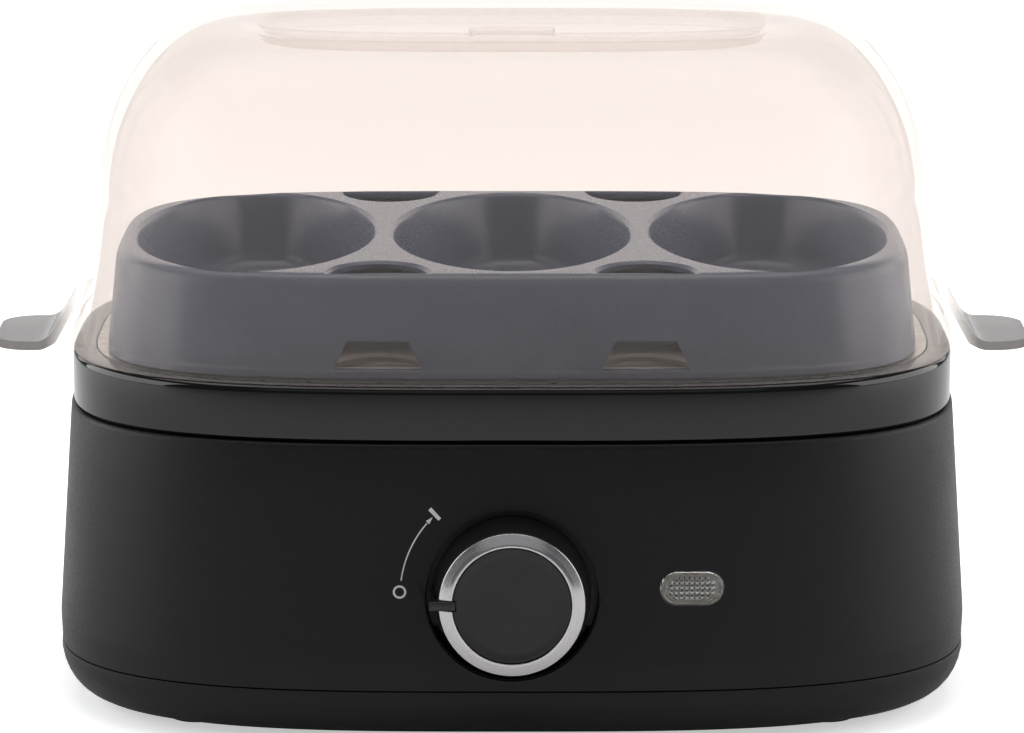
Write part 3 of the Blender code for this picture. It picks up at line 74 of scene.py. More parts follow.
# ---- studio ------------------------------------------------------------------------------------
def studio():
    """White surroundings and soft boxes above, behind, beside and in front."""
    scene = bpy.context.scene
    scene.view_settings.view_transform = "Standard"
    view = bpy.data.cameras.new("front_camera")
    view.sensor_width = 36.0
    view.lens = 165.2
    view.clip_end = 50.0
    camera = bpy.data.objects.new("front_camera", view)
    camera.location = (0.0, -1.2646, 0.3477)
    camera.rotation_euler = (math.radians(90 - 11.76), 0.0, 0.0)
    scene.collection.objects.link(camera)
    scene.camera = camera
    world = bpy.data.worlds.new("white_room")
    scene.world = world
    world.use_nodes = True
    tree = world.node_tree
    room = tree.nodes["Background"]
    room.inputs["Color"].default_value = (0.95, 0.97, 1.0, 1.0)
    room.inputs["Strength"].default_value = 0.12
    white = tree.nodes.new("ShaderNodeBackground")
    white.inputs["Strength"].default_value = 1.0
    ray = tree.nodes.new("ShaderNodeLightPath")
    seen = tree.nodes.new("ShaderNodeMath")
    seen.operation = "MAXIMUM"
    tree.links.new(ray.outputs["Is Camera Ray"], seen.inputs[0])
    tree.links.new(ray.outputs["Is Transmission Ray"], seen.inputs[1])
    swap = tree.nodes.new("ShaderNodeMixShader")
    tree.links.new(seen.outputs[0], swap.inputs[0])
    tree.links.new(room.outputs[0], swap.inputs[1])
    tree.links.new(white.outputs[0], swap.inputs[2])
    tree.links.new(swap.outputs[0], tree.nodes["World Output"].inputs["Surface"])
    for name, place, size, power in (
        ("top_soft_box", (0.0, 0.1, 1.3), (1.4, 1.0), 9.0),
        ("back_soft_box", (0.0, 1.7, 0.6), (3.0, 1.1), 12.0),
        ("left_soft_box", (-1.0, 0.05, 0.42), (1.5, 0.8), 9.0),
        ("right_soft_box", (1.0, 0.05, 0.42), (1.5, 0.8), 9.0),
        ("front_soft_box", (0.0, -2.2, 1.7), (2.4, 1.2), 2.5),
    ):
        lamp = bpy.data.lights.new(name, "AREA")
        lamp.shape = "RECTANGLE"
        lamp.size, lamp.size_y = size
        lamp.energy = power
        box = bpy.data.objects.new(name, lamp)
        box.location = place
        box.rotation_euler = (Vector((0, 0, 0.08)) - Vector(place)).to_track_quat("-Z", "Y").to_euler()
        scene.collection.objects.link(box)


# ---- materials ----------------------------------------------------------------------------------
def linear(code):
    """sRGB hex to the linear colour a shader takes."""
    parts = [int(code[step:step + 2], 16) / 255 for step in (0, 2, 4)]
    return tuple(c / 12.92 if c <= 0.04045 else ((c + 0.055) / 1.055) ** 2.4 for c in parts) + (1.0,)


def add_node(material, kind, settings, inputs):
    """One shader node with its settings, and its sockets given a value or a link."""
    made = material.node_tree.nodes.new("ShaderNode" + kind)
    for name, value in settings.items():
        setattr(made, name, value)
    for name, value in inputs.items():
        if isinstance(value, bpy.types.NodeSocket):
            material.node_tree.links.new(value, made.inputs[name])
        else:
            made.inputs[name].default_value = value
    return made


def new_material(name, colour, rough, metallic=0.0, ior=1.5):
    """A material with one Principled shader, and its own coordinates in metres."""
    made = bpy.data.materials.new(name)
    made.use_nodes = True
    shader = made.node_tree.nodes["Principled BSDF"]
    shader.inputs["Base Color"].default_value = linear(colour)
    shader.inputs["Roughness"].default_value = rough
    shader.inputs["Metallic"].default_value = metallic
    if not metallic:
        shader.inputs["IOR"].default_value = ior
    place = add_node(made, "TexCoord", {}, {})
    return made, shader, place.outputs["Object"]


def grain(material, place, size_mm, stretch=(1, 1, 1), detail=3.0):
    """Noise whose lumps are about size_mm across."""
    squeezed = add_node(material, "Mapping", {}, {"Vector": place, "Scale": stretch})
    return add_node(material, "TexNoise", {}, {"Vector": squeezed.outputs[0], "Scale": 1 / (size_mm * MM),
                                               "Detail": detail, "Roughness": 0.6}).outputs["Fac"]


def span(material, value, low, high, start=0.3, end=0.7):
    """value, taken from start..end to low..high."""
    return add_node(material, "MapRange", {}, {"Value": value, "From Min": start, "From Max": end,
                                               "To Min": low, "To Max": high}).outputs[0]


def two_tones(material, value, first, second):
    mixed = add_node(material, "Mix", {"data_type": "RGBA"}, {})
    material.node_tree.links.new(value, mixed.inputs[0])
    mixed.inputs[6].default_value = linear(first)
    mixed.inputs[7].default_value = linear(second)
    return mixed.outputs[2]


def relief(material, shader, value, depth_mm, strength=1.0):
    bump = add_node(material, "Bump", {}, {"Height": value, "Distance": depth_mm * MM, "Strength": strength})
    material.node_tree.links.new(bump.outputs[0], shader.inputs["Normal"])


def join(material, value, shader, socket):
    material.node_tree.links.new(value, shader.inputs[socket])


def moulded(name, first, second, rough_low, rough_high, grain_mm, depth_mm, ior=1.49, cloud_mm=30):
    """Moulded plastic: a slow drift of tone, uneven sheen, and the tool's texture as relief."""
    made, shader, place = new_material(name, first, rough_low, ior=ior)
    cloud = grain(made, place, cloud_mm)
    fine = grain(made, place, grain_mm, detail=2.0)
    join(made, two_tones(made, span(made, cloud, 0, 1), first, second), shader, "Base Color")
    join(made, span(made, fine, rough_low, rough_high), shader, "Roughness")
    relief(made, shader, fine, depth_mm)
    return made


def spark_textured_casing():
    # Black polypropylene from a spark-eroded tool: a dry, even black that breaks up every highlight
    # into fine points. The grit is about 0.2 mm, drawn at 0.55 mm so that it shows.
    made, shader, place = new_material("black_polypropylene_spark_textured", "151417", 0.46, ior=1.49)
    grit = grain(made, place, 0.55, detail=2.5)
    cloud = grain(made, place, 22)
    join(made, two_tones(made, span(made, grit, 0, 1, 0.25, 0.8), "08070a", "131216"), shader, "Base Color")
    shader.inputs["Specular IOR Level"].default_value = 0.3
    mixed = add_node(made, "Math", {"operation": "MULTIPLY"}, {0: span(made, grit, 0.36, 0.56),
                                                              1: span(made, cloud, 0.94, 1.06)})
    join(made, mixed.outputs[0], shader, "Roughness")
    relief(made, shader, grit, 0.05, 0.8)
    return made


def gloss_black_band():
    # Piano-black ABS, polished in the tool: deep black with sharp reflections, and a very slight
    # orange peel, about 6 mm from crest to crest, that bends their edges.
    made, shader, place = new_material("black_abs_high_gloss", "060607", 0.05, ior=1.53)
    peel = grain(made, place, 6.0, detail=1.0)
    smear = grain(made, place, 14.0, detail=4.0)
    join(made, span(made, smear, 0.035, 0.075), shader, "Roughness")
    relief(made, shader, peel, 0.02, 0.35)
    return made


def satin_knob_plastic():
    # Black ABS with a fine satin texture: smoother than the casing, so its rounded skirt shows
    # long soft highlights.
    return moulded("black_abs_satin", "0d0d0f", "131215", 0.30, 0.40, 0.35, 0.012, ior=1.53)


def knob_face_plastic():
    # The knob's dished face is the same ABS with a finer etch, and reads dark and even.
    return moulded("black_abs_fine_etch", "060608", "0a090c", 0.36, 0.44, 0.25, 0.01, ior=1.53)


def satin_chrome_ring():
    # Satin chrome plating, lapped round its own axis: bright where the bevel meets a light, and
    # drawn out sideways by the lapping lines, about 0.15 mm apart and drawn at 0.3 mm.
    made, shader, place = new_material("satin_chrome_lapped", "c9c6c8", 0.2, metallic=1.0)
    centred = add_node(made, "Mapping", {}, {"Vector": place, "Location": (0.0, 0.0, -KNOB_Z)})
    axes = add_node(made, "SeparateXYZ", {}, {"Vector": centred.outputs[0]})
    flat = add_node(made, "CombineXYZ", {}, {"X": axes.outputs["X"], "Y": axes.outputs["Z"]})
    radius = add_node(made, "VectorMath", {"operation": "LENGTH"}, {0: flat.outputs[0]})
    rings = add_node(made, "TexNoise", {"noise_dimensions": "1D"}, {"W": radius.outputs["Value"],
                                                                    "Scale": 1 / (0.3 * MM), "Detail": 2.0})
    join(made, span(made, rings.outputs["Fac"], 0.16, 0.30), shader, "Roughness")
    relief(made, shader, rings.outputs["Fac"], 0.004, 0.6)
    shader.inputs["Anisotropic"].default_value = 0.5
    return made


def brushed_steel():
    # Stainless steel sheet, drawn and then brushed along its length: grey-white, with streaks
    # 0.2 mm wide, drawn at 0.4 mm, and faint heat tint where the water dries.
    made, shader, place = new_material("stainless_steel_brushed", "c4c2be", 0.3, metallic=1.0)
    streaks = grain(made, place, 0.4, stretch=(0.03, 1, 1))
    stain = grain(made, place, 18.0, detail=4.0)
    join(made, two_tones(made, span(made, stain, 0, 1), "c8c6c2", "b3aca3"), shader, "Base Color")
    join(made, span(made, streaks, 0.22, 0.38), shader, "Roughness")
    relief(made, shader, streaks, 0.01, 0.5)
    return made


def zinc_plate():
    # Zinc-plated steel: cool grey with the cloudy crystals of the plating, about 2 mm across.
    made, shader, place = new_material("steel_zinc_plated", "b3b4b8", 0.36, metallic=1.0)
    crystal = grain(made, place, 2.0, detail=4.0)
    join(made, two_tones(made, span(made, crystal, 0, 1), "a7a8ad", "c0c1c4"), shader, "Base Color")
    join(made, span(made, crystal, 0.28, 0.45), shader, "Roughness")
    relief(made, shader, crystal, 0.01, 0.3)
    return made


def clear_plastic(name, tint, rough, ior, wave_mm):
    """Clear plastic that bends what is behind it and lets the lamps through, with the faint
    waves that flow leaves in a moulding."""
    made, shader, place = new_material(name, tint, rough, ior=ior)
    shader.inputs["Transmission Weight"].default_value = 1.0
    waves = grain(made, place, wave_mm, detail=1.0)
    relief(made, shader, waves, 0.03, 0.25)
    passing = add_node(made, "BsdfTransparent", {}, {"Color": linear(tint)})
    ray = add_node(made, "LightPath", {}, {})
    swap = add_node(made, "MixShader", {}, {"Fac": ray.outputs["Is Shadow Ray"]})
    links = made.node_tree.links
    links.new(shader.outputs[0], swap.inputs[1])
    links.new(passing.outputs[0], swap.inputs[2])
    links.new(swap.outputs[0], made.node_tree.nodes["Material Output"].inputs["Surface"])
    return made


def smoked_lid_plastic():
    # Smoked copolyester, polished in the tool: nearly clear face on, a little milky, and denser
    # where the eye looks along the wall. The handles are solid, so the smoke looks deeper there.
    made, shader, place = new_material("smoked_copolyester_polished", "e9e1de", 0.08, ior=1.5)
    waves = grain(made, place, 40.0, detail=1.0)
    relief(made, shader, waves, 0.05, 0.2)
    join(made, span(made, grain(made, place, 9.0), 0.05, 0.11), shader, "Roughness")
    axes = add_node(made, "SeparateXYZ", {}, {"Vector": place})
    out = add_node(made, "Math", {"operation": "ABSOLUTE"}, {0: axes.outputs["X"]})
    beyond = span(made, out.outputs[0], 0.0, 1.0, 0.1185, 0.1265)
    under = span(made, axes.outputs["Z"], 1.0, 0.0, 0.104, 0.108)
    solid = add_node(made, "Math", {"operation": "MULTIPLY"}, {0: beyond, 1: under}).outputs[0]
    join(made, two_tones(made, solid, "ece5e1", "1d1c1f"), shader, "Base Color")
    join(made, span(made, solid, 0.5, 0.12), shader, "Specular IOR Level")
    edge = add_node(made, "LayerWeight", {}, {"Blend": 0.5})
    milk = span(made, edge.outputs["Facing"], 0.05, 0.24, 0.25, 1.0)
    dense = add_node(made, "Math", {"operation": "MULTIPLY_ADD", "use_clamp": True},
                     {0: solid, 1: 0.5, 2: milk})
    passing = add_node(made, "BsdfTransparent", {}, {"Color": linear("fbf8f6")})
    swap = add_node(made, "MixShader", {}, {"Fac": dense.outputs[0]})
    links = made.node_tree.links
    links.new(passing.outputs[0], swap.inputs[1])
    links.new(shader.outputs[0], swap.inputs[2])
    links.new(swap.outputs[0], made.node_tree.nodes["Material Output"].inputs["Surface"])
    return made


def printed_white():
    # Pad-printed white ink: a thin, flat, slightly uneven film.
    return moulded("white_pad_print", "d9d8da", "c9c8cb", 0.45, 0.6, 0.3, 0.004)


# ---- modelling ------------------------------------------------------------------------------------
UP = Vector((0, 0, 1))
OUT_FRONT = Vector((0, -1, 0))
OUT_BACK = Vector((0, 1, 0))


def deselect():
    if bpy.context.object and bpy.context.object.mode != "OBJECT":
        bpy.ops.object.mode_set(mode="OBJECT")
    bpy.ops.object.select_all(action="DESELECT")


def soften(corners, closed=False, steps=4):
    """A profile of (across, up, radius) corners in millimetres, each rounded by its radius."""
    points = []
    count = len(corners)
    for number, (across, up, radius) in enumerate(corners):
        here = Vector((across, up))
        ends = not closed and number in (0, count - 1)
        if radius == 0 or ends:
            points.append(here)
            continue
        before = Vector(corners[number - 1][:2]) - here
        after = Vector(corners[(number + 1) % count][:2]) - here
        reach = min(radius, before.length * 0.49, after.length * 0.49)
        start = here + before.normalized() * reach
        finish = here + after.normalized() * reach
        for step in range(steps + 1):
            t = step / steps
            points.append(start * (1 - t) ** 2 + here * 2 * t * (1 - t) + finish * t ** 2)
    return [(point.x * MM, point.y * MM) for point in points]


def draw_up(name, levels, power=BODY_POWER, x=0.0, shut=True, points=LOOP, smooth=40):
    """Starts from a circle, squares it to the plan's shape, and extrudes and scales it through
    (half_x, half_y, z) levels. A shut piece is solid; otherwise the last level meets the first."""
    deselect()
    bpy.ops.mesh.primitive_circle_add(vertices=points, radius=1.0, location=(0, 0, 0),
                                      fill_type="NGON" if shut else "NOTHING")
    piece = bpy.context.object
    piece.name = piece.data.name = name
    half_x, half_y, z = levels[0]
    for vertex in piece.data.vertices:
        across, along, _ = vertex.co
        vertex.co = (x + half_x * math.copysign(abs(across) ** (2 / power), across),
                     half_y * math.copysign(abs(along) ** (2 / power), along), z)
    bpy.ops.object.mode_set(mode="EDIT")
    bpy.ops.mesh.select_all(action="SELECT")
    for wide, deep, up in levels[1:]:
        bpy.ops.mesh.extrude_region_move(TRANSFORM_OT_translate={"value": (0.0, 0.0, up - z)})
        bpy.ops.transform.resize(value=(wide / half_x, deep / half_y, 1.0), center_override=(x, 0.0, up))
        half_x, half_y, z = wide, deep, up
    close_up(smooth)
    return piece


def close_up(smooth=40):
    """Merges what meets, turns the faces outwards and shades the piece, from edit mode."""
    bpy.ops.mesh.select_all(action="SELECT")
    bpy.ops.mesh.remove_doubles(threshold=2e-6)
    bpy.ops.mesh.normals_make_consistent(inside=False)
    bpy.ops.object.mode_set(mode="OBJECT")
    bpy.ops.object.shade_smooth_by_angle(angle=math.radians(smooth))


def inset(amount, z):
    return (HALF_X - amount, HALF_Y - amount, z)


def insets(profile):
    return [inset(amount, z) for amount, z in profile]


def turn_up(name, profile, centre, up=UP, steps=96, smooth=40):
    """Spins a (radius, height) profile about the axis through centre, heights going along up."""
    deselect()
    bpy.ops.mesh.primitive_plane_add(size=1.0, location=(0, 0, 0))
    piece = bpy.context.object
    piece.name = piece.data.name = name
    bpy.ops.object.mode_set(mode="EDIT")
    bpy.ops.mesh.select_all(action="SELECT")
    bpy.ops.mesh.delete(type="VERT")
    bpy.ops.object.mode_set(mode="OBJECT")
    centre = Vector(centre)
    points = [centre + Vector((radius, 0, 0)) + up * height for radius, height in profile]
    piece.data.from_pydata(points, [(step, step + 1) for step in range(len(points) - 1)], [])
    bpy.ops.object.mode_set(mode="EDIT")
    bpy.ops.mesh.select_all(action="SELECT")
    bpy.ops.mesh.spin(steps=steps, angle=math.tau, center=centre, axis=up, use_normal_flip=False)
    close_up(smooth)
    return piece


def block(name, low, high, bevel=0.0, segments=3):
    """A cube at its size and place, its edges bevelled."""
    deselect()
    low, high = Vector(low), Vector(high)
    bpy.ops.mesh.primitive_cube_add(size=1.0, location=(0, 0, 0))
    piece = bpy.context.object
    piece.name = piece.data.name = name
    bpy.ops.object.mode_set(mode="EDIT")
    bpy.ops.transform.resize(value=high - low, center_override=(0, 0, 0))
    bpy.ops.transform.translate(value=(low + high) / 2)
    if bevel:
        bpy.ops.mesh.bevel(offset=bevel, segments=segments, affect="EDGES")
    close_up()
    return piece


def rod(name, radius, start, length, up=UP, steps=64, flare=0.0):
    """A round tool or boss from start along up; a flare opens its far end, to leave a soft lip."""
    profile = [(0, 0), (radius, 0), (radius, length), (0, length)]
    if flare:
        profile = [(0, 0), (radius, 0), (radius, length - flare),
                   (radius + 0.3 * flare, length - 0.3 * flare), (radius + flare, length),
                   (radius + flare, length + 2 * MM), (0, length + 2 * MM)]
    return turn_up(name, profile, start, up, steps)


def stretch(piece, middle_x, extra):
    """Moves the two halves of a round piece apart along X, which makes an oblong with round ends."""
    for vertex in piece.data.vertices:
        if abs(vertex.co.x - middle_x) > 1e-6:
            vertex.co.x += math.copysign(extra / 2, vertex.co.x - middle_x)
    return piece


def shape(piece, tool, operation, smooth=40, keep=False):
    """Cuts the tool from the piece, or joins it on, and removes the tool."""
    deselect()
    bpy.context.view_layer.objects.active = piece
    piece.select_set(True)
    change = piece.modifiers.new("change", "BOOLEAN")
    change.operation = operation
    change.object = tool
    bpy.ops.object.modifier_apply(modifier=change.name)
    if not keep:
        bpy.data.objects.remove(tool, do_unlink=True)
    bpy.ops.object.shade_smooth_by_angle(angle=math.radians(smooth))
    return piece


def give(piece, material, body, slot, *replaced):
    """Finish and body for a piece that is done, with the imported pieces it replaces hidden; the slot is not
    used.
    """
    piece.data.materials.clear()
    piece.data.materials.append(material)
    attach(piece, body)
    if replaced:
        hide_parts(*replaced)
    return piece


def duplicate(piece, name, offset):
    copy = piece.copy()
    copy.data = piece.data.copy()
    copy.name = copy.data.name = name
    copy.data.transform(Matrix.Translation(offset))
    bpy.context.scene.collection.objects.link(copy)
    return copy


def wall_y(x, z):
    """Y of the casing's front wall at x and z."""
    draft = DRAFT * max(0.0, z - WIDEST_Z) / (CASING_TOP - WIDEST_Z)
    half_x, half_y = HALF_X - draft, HALF_Y - draft
    return -half_y * (1 - abs(x / half_x) ** BODY_POWER) ** (1 / BODY_POWER)


# ---- base -------------------------------------------------------------------------------------------
def make_bottom_cover(finish):
    bends = [math.pi / 2 * step / 9 for step in range(10)]
    outside = [(10 - 10 * math.sin(turn), 2 + 13 * (1 - math.cos(turn))) for turn in bends]
    outside[-1] = (0.3, 15.0)
    inside = [(14.6 - 10 * math.sin(turn), 4.4 + 8.2 * (1 - math.cos(turn))) for turn in reversed(bends)]
    tongue = [(2.8, 15.0), (2.8, 18.4), (4.6, 18.4)]
    profile = [(across * MM, up * MM) for across, up in outside + tongue + inside]
    cover = draw_up("bottom_shell", insets(profile), smooth=30)
    for x in (-98.0, 98.0):
        for y in (-40.0, 40.0):
            shape(cover, rod("screw_boss", 6 * MM, (x * MM, y * MM, 3.4 * MM), 8 * MM), "UNION")
            shape(cover, rod("screw_hole", 1.8 * MM, (x * MM, y * MM, 0), 20 * MM, steps=32), "DIFFERENCE")
            shape(cover, rod("head_hole", 3.5 * MM, (x * MM, y * MM, 0), 5.3 * MM, steps=48), "DIFFERENCE")
    for x in (-84.0, 84.0):
        for y in (-52.0, 52.0):
            shape(cover, rod("foot_socket", 8.3 * MM, (x * MM, y * MM, 0), 3.4 * MM), "DIFFERENCE")
    notch = rod("knob_notch", 25.4 * MM, (0, FACE_Y + 15 * MM, KNOB_Z), 18 * MM, OUT_FRONT)
    shape(cover, notch, "DIFFERENCE", smooth=30)
    return give(cover, finish, "base", "casing", "bottom_cover")


def make_feet(finish):
    for x, side in ((-84.0, "left"), (84.0, "right")):
        for y, end in ((-52.0, "front"), (52.0, "back")):
            profile = soften([(0.0, 3.1, 0), (8.0, 3.1, 0), (8.0, 0.0, 1.0), (0.0, 0.0, 0)])
            foot = turn_up(f"rubber_foot_{end}_{side}", profile, (x * MM, y * MM, 0), steps=48)
            give(foot, finish, "base", "rubber", f"foot_{end}_{side}")


def make_housing(finish):
    wall = [(0.3, 15.4, 0), (0.0, 22.0, 1.5), (0.95, 36.2, 0), (1.9, 50.5, 0), (2.85, 64.8, 0),
            (3.9, 80.4, 1.3), (18.5, 80.4, 0), (18.5, 78.2, 0), (6.4, 78.2, 0), (2.5, 22.0, 0),
            (2.5, 15.4, 0), (0.3, 15.4, 0)]
    housing = draw_up("casing_shell", insets(soften(wall)), shut=False, smooth=30)
    floor_y = FACE_Y + 2.8 * MM
    pad = rod("knob_pad", 24.8 * MM, (0, floor_y + 2.4 * MM, KNOB_Z), 3.2 * MM, OUT_FRONT, steps=128)
    shape(housing, pad, "UNION", smooth=30)
    well = rod("knob_well", 22.4 * MM, (0, floor_y, KNOB_Z), 2.8 * MM, OUT_FRONT, steps=128, flare=0.5 * MM)
    shape(housing, well, "DIFFERENCE", smooth=30)
    bush = rod("bush_hole", 4.9 * MM, (0, floor_y + 5 * MM, KNOB_Z), 9 * MM, OUT_FRONT)
    shape(housing, bush, "DIFFERENCE", smooth=30)
    face = wall_y(LENS_X, LENS_Z)
    hole = rod("lens_hole", 4.6 * MM, (LENS_X, face + 8 * MM, LENS_Z), 16 * MM, OUT_FRONT)
    shape(housing, stretch(hole, LENS_X, 7.6 * MM), "DIFFERENCE", smooth=30)
    gland_low, gland_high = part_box("cord_gland")
    x, z = (gland_low.x + gland_high.x) / 2, (gland_low.z + gland_high.z) / 2
    hole = rod("gland_hole", 5.7 * MM, (x, HALF_Y - 12 * MM, z), 18 * MM, OUT_BACK)
    shape(housing, hole, "DIFFERENCE", smooth=30)
    collar_y = gland_collar_y()
    flat = block("gland_flat", (x - 9 * MM, collar_y - GAP, z - 9 * MM),
                 (x + 9 * MM, HALF_Y + 5 * MM, z + 9 * MM))
    shape(housing, flat, "DIFFERENCE", smooth=30)
    return give(housing, finish, "base", "casing", "housing")


def gland_collar_y():
    """Inner face of the gland's collar, just clear of the flat cut for it."""
    gland_low, gland_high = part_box("cord_gland")
    x, z = (gland_low.x + gland_high.x) / 2, (gland_low.z + gland_high.z) / 2
    return -wall_y(x + 8 * MM, z) - 0.4 * MM + GAP


def make_gland(finish):
    low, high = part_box("cord_gland")
    x, z = (low.x + high.x) / 2, (low.z + high.z) / 2
    collar = gland_collar_y()
    back = (collar - low.y) / MM
    tip = (high.y - collar) / MM
    profile = [(3.4, -back, 0), (5.4, -back, 0), (5.4, 0.0, 0), (8.0, 0.0, 0), (8.0, 2.4, 0.7),
               (6.2, 3.4, 0.5)]
    rib = 3.4
    while rib + 1.6 < tip - 1.0:
        profile += [(6.1, rib + 0.9, 0.2), (5.3, rib + 1.1, 0.2), (5.3, rib + 1.6, 0.2),
                    (6.0, rib + 1.8, 0.2)]
        rib += 1.8
    profile += [(5.6, tip, 0.6), (3.4, tip, 0.3), (3.4, -back, 0)]
    gland = turn_up("strain_relief", soften(profile, steps=2), (x, collar, z), OUT_BACK, steps=64)
    return give(gland, finish, "base", "rubber", "cord_gland")


def make_bezel(finish):
    ring = [(5.0, 80.8, 0), (4.5, 81.6, 0.3), (4.5, 95.2, 1.9), (10.7, 95.2, 0.5), (10.7, 91.4, 0.3),
            (18.5, 91.4, 0.3), (18.5, 88.8, 0), (7.5, 88.8, 0), (7.5, 80.8, 0), (5.0, 80.8, 0)]
    bezel = draw_up("gloss_band", insets(soften(ring)), shut=False, smooth=30)
    return give(bezel, finish, "base", "gloss", "bezel_ring")


def make_pan(finish):
    bends = [math.pi / 2 * step / 8 for step in range(9)]
    outside = [(19.2 + 9 * (1 - math.sin(turn)), 84 + 10 * (1 - math.cos(turn))) for turn in bends]
    inside = [(20.4 + 9 * (1 - math.sin(turn)), 85.2 + 10 * (1 - math.cos(turn))) for turn in reversed(bends)]
    profile = [(across * MM, up * MM) for across, up in outside + [(11.0, 94.0), (11.0, 95.2)] + inside]
    pan = draw_up("steel_pan", insets(profile), smooth=35)
    return give(pan, finish, "base", "pan_steel", "heating_pan")


# ---- knob, lamp and marks -----------------------------------------------------------------------------
def make_knob(skirt, metal, face):
    seat_y = FACE_Y + 2.5 * MM
    axis = (0, seat_y, KNOB_Z)
    profile = soften([(0.0, 12.2, 0), (18.9, 12.2, 0.5), (20.6, 0.9, 0.4), (20.3, 0.0, 0.2), (18.0, 0.0, 0.2),
                      (16.3, 9.6, 0.6), (6.0, 9.6, 0.6), (6.0, 5.6, 0.2), (3.3, 5.6, 0), (3.3, 9.6, 0),
                      (0.0, 9.6, 0)])
    knob = turn_up("knob_skirt", profile, axis, OUT_FRONT, steps=160, smooth=30)
    front = seat_y - 14.3 * MM
    rib = block("pointer", (-21.3 * MM, front, KNOB_Z - 1.2 * MM),
                (-14.6 * MM, seat_y - 1.2 * MM, KNOB_Z + 1.2 * MM), 0.35 * MM)
    hollow = block("pointer_hollow", (-19.9 * MM, seat_y - 10.2 * MM, KNOB_Z - 3 * MM),
                   (-13.6 * MM, seat_y + 1 * MM, KNOB_Z + 3 * MM))
    shape(rib, hollow, "DIFFERENCE")
    shape(knob, rib, "UNION", smooth=30)
    give(knob, skirt, "knob", "knob_plastic", "knob")
    profile = soften([(15.5, 12.5, 0), (15.5, 14.1, 0.15), (16.1, 14.1, 0.25), (18.9, 12.9, 0.3),
                      (18.9, 12.5, 0), (15.5, 12.5, 0)], steps=3)
    ring = turn_up("chrome_ring", profile, axis, OUT_FRONT, steps=192, smooth=30)
    notch = ((-23 * MM, seat_y - 17 * MM, KNOB_Z - 1.5 * MM), (-13 * MM, seat_y - 11 * MM, KNOB_Z + 1.5 * MM))
    shape(ring, block("ring_notch", *notch), "DIFFERENCE", smooth=30)
    give(ring, metal, "knob", "satin_metal", "knob_ring")
    profile = soften([(0.0, 13.3, 0), (13.2, 13.4, 1.5), (15.2, 13.7, 0.15), (15.2, 12.5, 0), (0.0, 12.5, 0)])
    cap = turn_up("knob_face", profile, axis, OUT_FRONT, steps=160, smooth=30)
    shape(cap, block("cap_notch", (-23 * MM, seat_y - 17 * MM, KNOB_Z - 1.5 * MM),
                     (-14.3 * MM, seat_y - 11 * MM, KNOB_Z + 1.5 * MM)), "DIFFERENCE", smooth=30)
    give(cap, face, "knob", "knob_plastic", "knob_cap")


def make_lens(finish):
    low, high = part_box("indicator_lens")
    front, back = low.y, high.y
    middle = (LENS_X, back, LENS_Z)
    depth = (back - front) / MM
    body = soften([(0.0, depth - 0.75, 0), (3.3, depth - 0.75, 0.1), (3.55, depth, 0.15), (4.3, depth, 0.25),
                   (4.3, 1.2, 0), (6.1, 1.2, 0.1), (6.1, 0.0, 0.1), (0.0, 0.0, 0)], steps=3)
    lens = turn_up("lamp_lens", body, middle, OUT_FRONT, steps=64, smooth=25)
    stretch(lens, LENS_X, 7.6 * MM)
    deselect()
    bpy.ops.mesh.primitive_cone_add(vertices=4, radius1=0.95 * MM, radius2=0.1 * MM, depth=0.6 * MM,
                                    location=(0, 0, 0), rotation=(math.radians(90), 0, 0))
    facet = bpy.context.object
    bpy.ops.object.transform_apply(location=True, rotation=True, scale=True)
    facets = []
    for column in range(-5, 6):
        for row in range(-2, 3):
            x, z = 1.34 * column * MM, 1.34 * row * MM
            if math.hypot(max(0.0, abs(x) - 3.8 * MM), z) < 2.75 * MM:
                place = Vector((LENS_X + x, front + 0.5 * MM, LENS_Z + z))
                facets.append(duplicate(facet, f"facet_{column}_{row}", place))
    bpy.data.objects.remove(facet, do_unlink=True)
    deselect()
    for piece in facets:
        piece.select_set(True)
    lens.select_set(True)
    bpy.context.view_layer.objects.active = lens
    bpy.ops.object.join()
    return give(lens, finish, "base", "lens_clear", "indicator_lens")


def lay_on_wall(piece, finish):
    """Lays a flat outline on the casing's front wall as a film of ink."""
    for vertex in piece.data.vertices:
        vertex.co.y = wall_y(vertex.co.x, vertex.co.z) - 0.02 * MM
    bpy.ops.object.mode_set(mode="EDIT")
    bpy.ops.mesh.select_all(action="SELECT")
    bpy.ops.mesh.normals_make_consistent(inside=False)
    bpy.ops.object.mode_set(mode="OBJECT")
    if sum(face.normal.y for face in piece.data.polygons) > 0:
        piece.data.flip_normals()
    film = piece.modifiers.new("film", "SOLIDIFY")
    film.thickness = 0.05 * MM
    film.offset = 1.0
    bpy.ops.object.modifier_apply(modifier=film.name)
    return give(piece, finish, "base", None)


def swept_stroke(name, centre, inner, outer, start, sweep, steps):
    """A flat stroke swept round centre in the front view, angles from +X towards +Z."""
    deselect()
    bpy.ops.mesh.primitive_plane_add(size=1.0, location=(0, 0, 0))
    stroke = bpy.context.object
    stroke.name = stroke.data.name = name
    bpy.ops.object.mode_set(mode="EDIT")
    bpy.ops.mesh.delete(type="VERT")
    bpy.ops.object.mode_set(mode="OBJECT")
    along = Vector((math.cos(start), 0, math.sin(start)))
    centre = Vector((centre[0], 0, centre[1]))
    stroke.data.from_pydata([centre + along * inner, centre + along * outer], [(0, 1)], [])
    bpy.ops.object.mode_set(mode="EDIT")
    bpy.ops.mesh.select_all(action="SELECT")
    bpy.ops.mesh.spin(steps=steps, angle=sweep, center=centre, axis=(0, 1, 0))
    bpy.ops.mesh.select_all(action="SELECT")
    bpy.ops.mesh.remove_doubles(threshold=1e-6)
    bpy.ops.object.mode_set(mode="OBJECT")
    return stroke


